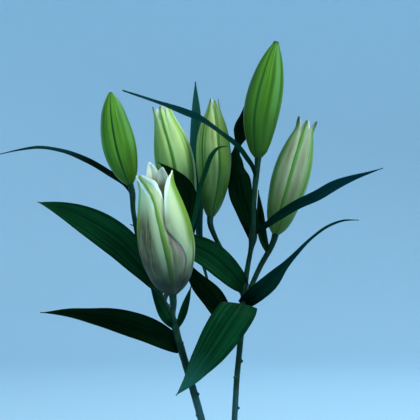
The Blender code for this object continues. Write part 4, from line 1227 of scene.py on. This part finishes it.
def add_tepal(shape, bud, tepal, inner, seed, twist, rib_width):
    """Adds one tepal as a single sheet, with the measures that its material reads."""
    edges = tepal["edges"]
    low, high = table([(e[0], e[1]) for e in edges]), table([(e[0], e[2]) for e in edges])
    margin = None
    if "beside" in tepal:
        neighbour = FRONT_OUTER[tepal["beside"]]
        margin = table([(e[0] * neighbour["reach"], e[1]) for e in neighbour["edges"]])
    layers = shape.verts.layers
    across, along, flush = layers.float["across"], layers.float["along"], layers.float["flush"]
    edge, tone = layers.float["edge"], layers.float["tone"]
    own, dusky = layers.float["own"], layers.float["dusky"]
    group = layers.deform.verify()
    sheet = bmesh.ops.create_grid(shape, x_segments=TEPAL_COLUMNS, y_segments=TEPAL_ROWS, size=1)["verts"]
    for vert in sheet:
        x, share = vert.co.x, (vert.co.y + 1) / 2
        side = math.copysign(abs(x) ** COLUMN_GATHER, x) if inner else x
        degrees = low.at(share) + (high.at(share) - low.at(share)) * (side + 1) / 2
        streak = side
        if "straight" in tepal:
            middle, half_angle = tepal["straight"]
            streak = min(max((degrees - middle) / half_angle, -1), 1)
        degrees += twist * ease(share, 0.5, 1)
        place = share * tepal["reach"]
        radius = bud.radius(place)
        half = math.radians((high.at(share) - low.at(share)) / 2) * radius
        inset = (INNER_INSET + tepal.get("deeper", 0) if inner else OUTER_INSET) * MM
        rib = (INNER_RIB if inner else OUTER_RIB) * MM * bump(side * half, 0, rib_width * MM)
        rib *= ease(share, 0, 0.08) * ease(1 - share, 0, 0.05)
        fall = tepal.get("roll", 0.5 if inner else 1.0) * MM
        fall *= ease(abs(side), 0.72, 1) * ease(1 - share, 0.02, 0.2)
        ripple = RIPPLE * MM * ease(abs(side), 0.6, 1) * ease(share, 0.55, 0.95) * noise.noise(
            Vector((share * RIPPLE_COUNT, side * 2, seed)))
        turned = tepal["flare"] * MM * ease(share, 0.82, 1) ** 2
        shade = tepal.get("tone", 0)
        if "green" in tepal:
            none, full, start = tepal["green"]
            shade = ease(degrees, none, full) * ease(share, start, start + 0.2)
            none, full, strength = tepal["dusk"]
            spread_out = ease(degrees - DUSK_LEAN * (0.5 - share), none, full)
            vert[dusky] = strength * spread_out * ease(share, 0.1, 0.3) * ease(share, 0.86, 0.58)
            vert[own] = 1
        out = radius - inset + rib - fall + ripple + turned
        if margin:
            beside = degrees - margin.at(place)
            hollow = bump(beside, HOLLOW_SHIFT, HOLLOW_WIDTH) * bump(place, HOLLOW_PLACE, HOLLOW_LENGTH)
            swell = bump(beside, SWELL_SHIFT, HOLLOW_WIDTH) * bump(place, HOLLOW_PLACE, HOLLOW_LENGTH * 1.3)
            gutter = bump(beside, GUTTER_SHIFT, GUTTER_WIDTH)
            gutter *= ease(place, 0.4, 0.52)
            gutter *= ease(1 - place, 0.05, 0.2)
            out += (swell * SWELL_HEIGHT - hollow * HOLLOW_DEPTH - gutter * GUTTER_DEPTH) * MM
            vert[flush] = hollow
            # Painted shade: the gutter beside the outer tepal's margin and the strip right of the rib
            # beneath it are darkened through the dusk attribute
            beneath = ease(side, 0.06, 0.14) * ease(side, 0.45, 0.25) * ease(share, 0.1, 0.25)
            vert[dusky] = max(0.9 * gutter, 0.65 * beneath)
        vert.co = bud.place(place, degrees, max(out, LEAST_RADIUS))
        vert[across], vert[along] = streak, share
        vert[edge] = max(side * tepal["rim"], 0) if "rim" in tepal else abs(side)
        vert[edge] += tepal.get("lip", 0) * ease(share, 0.955, 0.985)
        vert[tone] = shade
        vert[group][0] = 1 - ease(abs(side), 0.6, 1)


class LILY_OT_opening_buds(bpy.types.Operator):
    """Models the opening buds, each from three inner petals and three outer tepals"""

    bl_idname = "lily.opening_buds"
    bl_label = "Opening buds"

    def execute(self, context):
        wanted = context.scene.lily_buds
        veins, face = bpy.data.node_groups["lengthwise_veins"], bpy.data.node_groups["tepal_face"]
        inside = inside_material("tepal_inside", wanted.inside, wanted.rib, veins)
        for number, (name, row) in enumerate(OPENING_BUDS.items()):
            bud = Bud(row)
            shape = bmesh.new()
            blade_layers(shape)
            for layer in ("flush", "edge", "tone", "own", "dusky"):
                shape.verts.layers.float.new(layer)
            if name == "bud_front":
                outer, inner = FRONT_OUTER, FRONT_INNER
                rib_width, flush = FRONT_RIB_WIDTH, wanted.flush
            else:
                outer = [
                    dict(reach=1.0, flare=0.8, edges=spread(OUTER_SPAN, bud.turn + a), tone=tone)
                    for a, tone in zip((60, 180, 300), FINISHES[name]["tones"])]
                inner = [
                    dict(reach=0.985, flare=0, edges=spread(INNER_SPAN, bud.turn + a))
                    for a in (0, 120, 240)]
                rib_width, flush = RIB_WIDTH, None
            twist = row.get("twist", 0)
            for i, tepal in enumerate(inner):
                add_tepal(shape, bud, tepal, True, number * 10 + i, twist, rib_width)
            petal_faces = len(shape.faces)
            for i, tepal in enumerate(outer):
                add_tepal(shape, bud, tepal, False, number * 10 + 5 + i, twist, rib_width)
            shape.faces.ensure_lookup_table()
            for i, one in enumerate(shape.faces):
                one.material_index = 0 if i < petal_faces else 2
            finish = FINISHES[name]
            petals, tepals = (
                tepal_material(
                    name + ending, veins, face, finish["skin"], finish["rib"], finish[part], flush)
                for ending, part in (("_petals", "inner"), ("_tepals", "outer")))
            # The slot after a blade's own is that of its inner face
            sides = [petals, inside, tepals, inside]
            piece = finish_piece(name + "_tepals", shape, sides, name)
            thicken(piece, wanted.thickness, TEPAL_MARGIN)
        return {"FINISHED"}


def spread(span, centre):
    """A blade's edges from its half angles and the angle of its middle."""
    return [(share, centre - half, centre + half) for share, half in span]


AMOUNTS = [
    "Rib Width", "Flank Reach", "Dusk", "Dusk Top", "Low Reach", "Low Full", "Low Even", "Tip Start", "Rim",
]
# Each opening bud's ribs, how green its outer tepals are all over, and the colours of its pale margins,
# green flanks, dusky panels and dark base, the base partly its own greener colour and partly painted shade.
# Then for its inner petals and outer tepals the rib's width, how far the flanks reach across, how dusky the
# panels are and how far up, how far the dark base reaches up and how evenly, where the dark tip starts and
# how white the rim is
FINISHES = {
    "bud_back_left": dict(
        rib=(0.09, 0.27, 0.04, 1), tones=(0, 0, 0.4),
        skin=[(0.42, 0.68, 0.3, 1), (0.22, 0.42, 0.05, 1), (0.23, 0.37, 0.07, 1), (0.05, 0.14, 0.02, 1)],
        inner=(0.06, 0.3, 0.3, 0.93, 0.5, 0.06, 0.97, 0.94, 0.15),
        outer=(0.048, 0.5, 0.7, 0.93, 0.5, 0.06, 0.97, 0.92, 0.2)),
    # Painted shade: the first of bud_middle's outer tepals is darkened all over by its tone
    "bud_middle": dict(
        rib=(0.04, 0.15, 0.02, 1), tones=(0.9, 0, 0),
        skin=[(0.31, 0.48, 0.18, 1), (0.08, 0.19, 0.028, 1), (0.15, 0.19, 0.055, 1), (0.02, 0.07, 0.01, 1)],
        inner=(0.06, 0.4, 0.5, 0.93, 0.55, 0.05, 0.97, 0.94, 0.15),
        outer=(0.06, 0.6, 0.9, 0.93, 0.65, 0.07, 0.97, 0.92, 0.1)),
    "bud_right": dict(
        rib=(0.08, 0.24, 0.04, 1), tones=(0, 0, 0),
        skin=[(0.26, 0.38, 0.23, 1), (0.11, 0.24, 0.04, 1), (0.185, 0.2, 0.115, 1), (0.05, 0.12, 0.02, 1)],
        inner=(0.07, 0.3, 0.3, 0.93, 0.6, 0.08, 0.97, 0.93, 0.12),
        outer=(0.08, 0.5, 0.95, 0.93, 0.6, 0.08, 0.97, 0.88, 0.1)),
    "bud_front": dict(
        rib=(0.15, 0.32, 0.05, 1),
        skin=[(0.53, 0.7, 0.4, 1), (0.17, 0.34, 0.035, 1), (0.12, 0.1, 0.045, 1), (0.005, 0.013, 0.008, 1)],
        inner=(0.1, 0.2, 0.55, 0.78, 0.9, 0.3, 0.5, 0.999, 1.0),
        outer=(0.09, 0.5, 1.0, 0.78, 0.9, 0.3, 0.5, 0.999, 1.0)),
}


def blade_share(share, widest):
    """A lance-shaped blade's width at a share of its length, as a share of its widest."""
    root = LEAF_TAPER * widest / (1 - widest)
    here = (share + LEAF_BASE_SHARE) / (1 + LEAF_BASE_SHARE)
    top = widest**root * (1 - widest) ** LEAF_TAPER
    return here**root * (1 - here) ** LEAF_TAPER / top


def blade_frame(leaf, route, share):
    """The directions across the blade and out of its upper face."""
    along = route.heading(share)
    if "across" in leaf:
        start, end = (Vector(v) for v in leaf["across"])
        hint = start.lerp(end, min(1, share / FOLD_END))
        across = (hint - along * hint.dot(along)).normalized()
        return across, across.cross(along)
    front = Vector((0, -1, 0))
    facing = (front - along * front.dot(along)).normalized()
    facing = Matrix.Rotation(math.radians(leaf["turning"].at(share)), 3, along) @ facing
    return along.cross(facing), facing


def leaf_shape(leaf, start, wanted, seed):
    """One lance-shaped sheet with a furrow over its midrib and softly waved margins."""
    route = Route([start] + [seen(*point) for point in leaf["path"]])
    if "turn" in leaf:
        leaf = dict(leaf, turning=table(leaf["turn"]))
    shape = bmesh.new()
    across, along, group = blade_layers(shape)
    bmesh.ops.create_grid(shape, x_segments=LEAF_COLUMNS, y_segments=LEAF_ROWS, size=1)
    for vert in shape.verts:
        x, share = vert.co.x, (vert.co.y + 1) / 2
        side = math.copysign(abs(x) ** 1.25, x)
        half = max(leaf["width"] / 2 * MM * blade_share(share, leaf["widest"]), LEAF_TIP_HALF_WIDTH)
        cross, facing = blade_frame(leaf, route, share)
        wave = noise.noise(Vector((share * route.length / WAVE_LENGTH, math.copysign(2, x), seed)))
        rise = leaf["cup"] * half * side**2
        rise += wave * wanted.wave * side**2 * 2 * ease(share, 0.05, 0.3)
        rise -= wanted.crease * bump(side, 0, CREASE_WIDTH) * min(1, half / (5 * MM))
        vert.co = route.at(share) + cross * side * half + facing * rise
        vert[across], vert[along] = side, share
        vert[group][0] = 1 - ease(abs(side), 0.5, 1)
    return shape


class LILY_OT_leaves(bpy.types.Operator):
    """Models the long leaves"""

    bl_idname = "lily.leaves"
    bl_label = "Leaves"

    def execute(self, context):
        make_blades(LEAVES, context.scene.lily_leaves)
        return {"FINISHED"}


class LILY_OT_bracts(bpy.types.Operator):
    """Models the small bracts at the pedicels"""

    bl_idname = "lily.bracts"
    bl_label = "Bracts"

    def execute(self, context):
        make_blades(BRACTS, context.scene.lily_leaves)
        return {"FINISHED"}


def make_blades(rows, wanted):
    """Models the leaves of a table, each from where it leaves its stalk or pedicel."""
    under = bpy.data.materials["leaf_under"]
    stalks = {side: stalk_route(side) for side in STALKS}
    for seed, (name, leaf) in enumerate(rows.items()):
        route = pedicel_route(leaf["pedicel"], stalks) if "pedicel" in leaf else stalks[leaf["stalk"]]
        shape = leaf_shape(leaf, route.at_height(leaf["height"] * MM), wanted, seed)
        face = bpy.data.materials[leaf.get("face", "leaf_upper")]
        faces = [under, face] if leaf.get("flipped") else [face, under]
        piece = finish_piece(name + "_blade", shape, faces, name)
        thicken(piece, wanted.thickness, LEAF_MARGIN)


def light(name, place, size, power, colour):
    """A soft square light that faces the plant."""
    lamp = bpy.data.lights.new(name, "AREA")
    lamp.shape = "SQUARE"
    lamp.size = size
    lamp.energy = power
    lamp.color = colour
    made = bpy.data.objects.new(name, lamp)
    made.location = place
    made.rotation_euler = (Vector(LIT_POINT) - Vector(place)).to_track_quat("-Z", "Y").to_euler()
    bpy.context.scene.collection.objects.link(made)


class LILY_OT_stage(bpy.types.Operator):
    """Sets the floor with its curved backdrop, the lights and the camera"""

    bl_idname = "lily.stage"
    bl_label = "Stage"

    def execute(self, context):
        wanted = context.scene.lily_stage
        flat = wanted.reach - COVE
        profile = [Vector((0, 0, 0)), Vector((flat, 0, 0))]
        for i in range(1, COVE_STEPS + 1):
            angle = math.radians(90 * i / COVE_STEPS)
            profile.append(Vector((flat + COVE * math.sin(angle), 0, COVE - COVE * math.cos(angle))))
        profile.append(Vector((wanted.reach, 0, BACKDROP_HEIGHT)))
        shape = turn_round(profile, STAGE_SIDES)
        bmesh.ops.recalc_face_normals(shape, faces=shape.faces)
        bmesh.ops.reverse_faces(shape, faces=shape.faces)
        paint, _, _ = new_material(
            "floor_paint", Base_Color=wanted.floor, Roughness=0.7, Specular_IOR_Level=0.2)
        floor = add_object("floor", shape, [paint])

        for name, (place, size, colour) in LIGHTS.items():
            light(name, place, size, getattr(wanted, name + "_power"), colour)
        context.scene.view_settings.view_transform = "Standard"
        world = bpy.data.worlds.new("even_light")
        world.use_nodes = True
        background = world.node_tree.nodes["Background"]
        background.inputs["Color"].default_value = SKY_COLOUR
        background.inputs["Strength"].default_value = wanted.sky
        context.scene.world = world

        camera = bpy.data.cameras.new("camera")
        camera.sensor_fit = "HORIZONTAL"
        camera.angle = 2 * math.atan(VIEW_WIDTH / 2 / VIEW_DISTANCE)
        eye = bpy.data.objects.new("camera", camera)
        eye.location = (VIEW_ACROSS * MM, -VIEW_DISTANCE * MM, VIEW_HEIGHT * MM)
        eye.rotation_euler = (math.pi / 2, 0, 0)
        context.scene.collection.objects.link(eye)
        context.scene.camera = eye
        return {"FINISHED"}


class LILY_OT_finishes(bpy.types.Operator):
    """Makes the node groups and the leaf materials that several pieces share"""

    bl_idname = "lily.finishes"
    bl_label = "Shared finishes"

    def execute(self, context):
        wanted = context.scene.lily_leaves
        veins = vein_group()
        tepal_group()
        leaf_material("leaf_upper", wanted.upper, wanted.vein, veins, 0.5, 0.03, 0.84, wanted.vein)
        leaf_material("leaf_folded", wanted.upper, wanted.vein, veins, 0.5, 0.03, 0.62, wanted.folded_tip_sheen)
        # The darkest leaf finish is painted shade for the leaves that lie behind or under others
        leaf_material("leaf_deep", wanted.painted_shade, wanted.painted_shade_vein, veins, 0.55, 0.008, 0.84, wanted.painted_shade_vein)
        # Painted sheen: the edgewise leaves take their teal tip colour from 0.15 of their length on
        leaf_material(
            "leaf_edgewise", wanted.edgewise, wanted.edgewise_vein, veins, 0.55, 0.004, 0.15,
            wanted.edgewise_sheen_tip)
        leaf_material(
            "leaf_under", wanted.under, wanted.under_vein, veins, 0.6, 0.002, 0.84, wanted.under_vein)
        return {"FINISHED"}


class LILY_PT_panel(bpy.types.Panel):
    """Lists the pieces of the arrangement and their sizes and colours"""

    bl_idname = "LILY_PT_panel"
    bl_label = "Lily stems in a vase"
    bl_space_type = "VIEW_3D"
    bl_region_type = "UI"
    bl_category = "Lily"

    def draw(self, context):
        layout = self.layout
        for maker in MAKERS:
            layout.operator(maker.bl_idname)
        for name, group in SETTINGS.items():
            box = layout.box()
            box.label(text=group.__doc__)
            for setting in group.__annotations__:
                box.prop(getattr(context.scene, name), setting)


SETTINGS = {
    "lily_vase": VaseSettings,
    "lily_stems": StemSettings,
    "lily_leaves": LeafSettings,
    "lily_buds": BudSettings,
    "lily_stage": StageSettings,
}
MAKERS = [
    LILY_OT_finishes,
    LILY_OT_vase,
    LILY_OT_water,
    LILY_OT_stems,
    LILY_OT_closed_buds,
    LILY_OT_opening_buds,
    LILY_OT_leaves,
    LILY_OT_bracts,
    LILY_OT_stage,
]


def register():
    for group in SETTINGS.values():
        bpy.utils.register_class(group)
    for name, group in SETTINGS.items():
        setattr(bpy.types.Scene, name, PointerProperty(type=group))
    for maker in MAKERS:
        bpy.utils.register_class(maker)
    bpy.utils.register_class(LILY_PT_panel)


def unregister():
    bpy.utils.unregister_class(LILY_PT_panel)
    for maker in reversed(MAKERS):
        bpy.utils.unregister_class(maker)
    for name, group in SETTINGS.items():
        delattr(bpy.types.Scene, name)
        bpy.utils.unregister_class(group)


def main():
    register()
    bpy.ops.lily.finishes()
    bpy.ops.lily.vase()
    bpy.ops.lily.water()
    bpy.ops.lily.stems()
    bpy.ops.lily.closed_buds()
    bpy.ops.lily.opening_buds()
    bpy.ops.lily.leaves()
    bpy.ops.lily.bracts()
    bpy.ops.lily.stage()


if __name__ == "__main__":
    main()
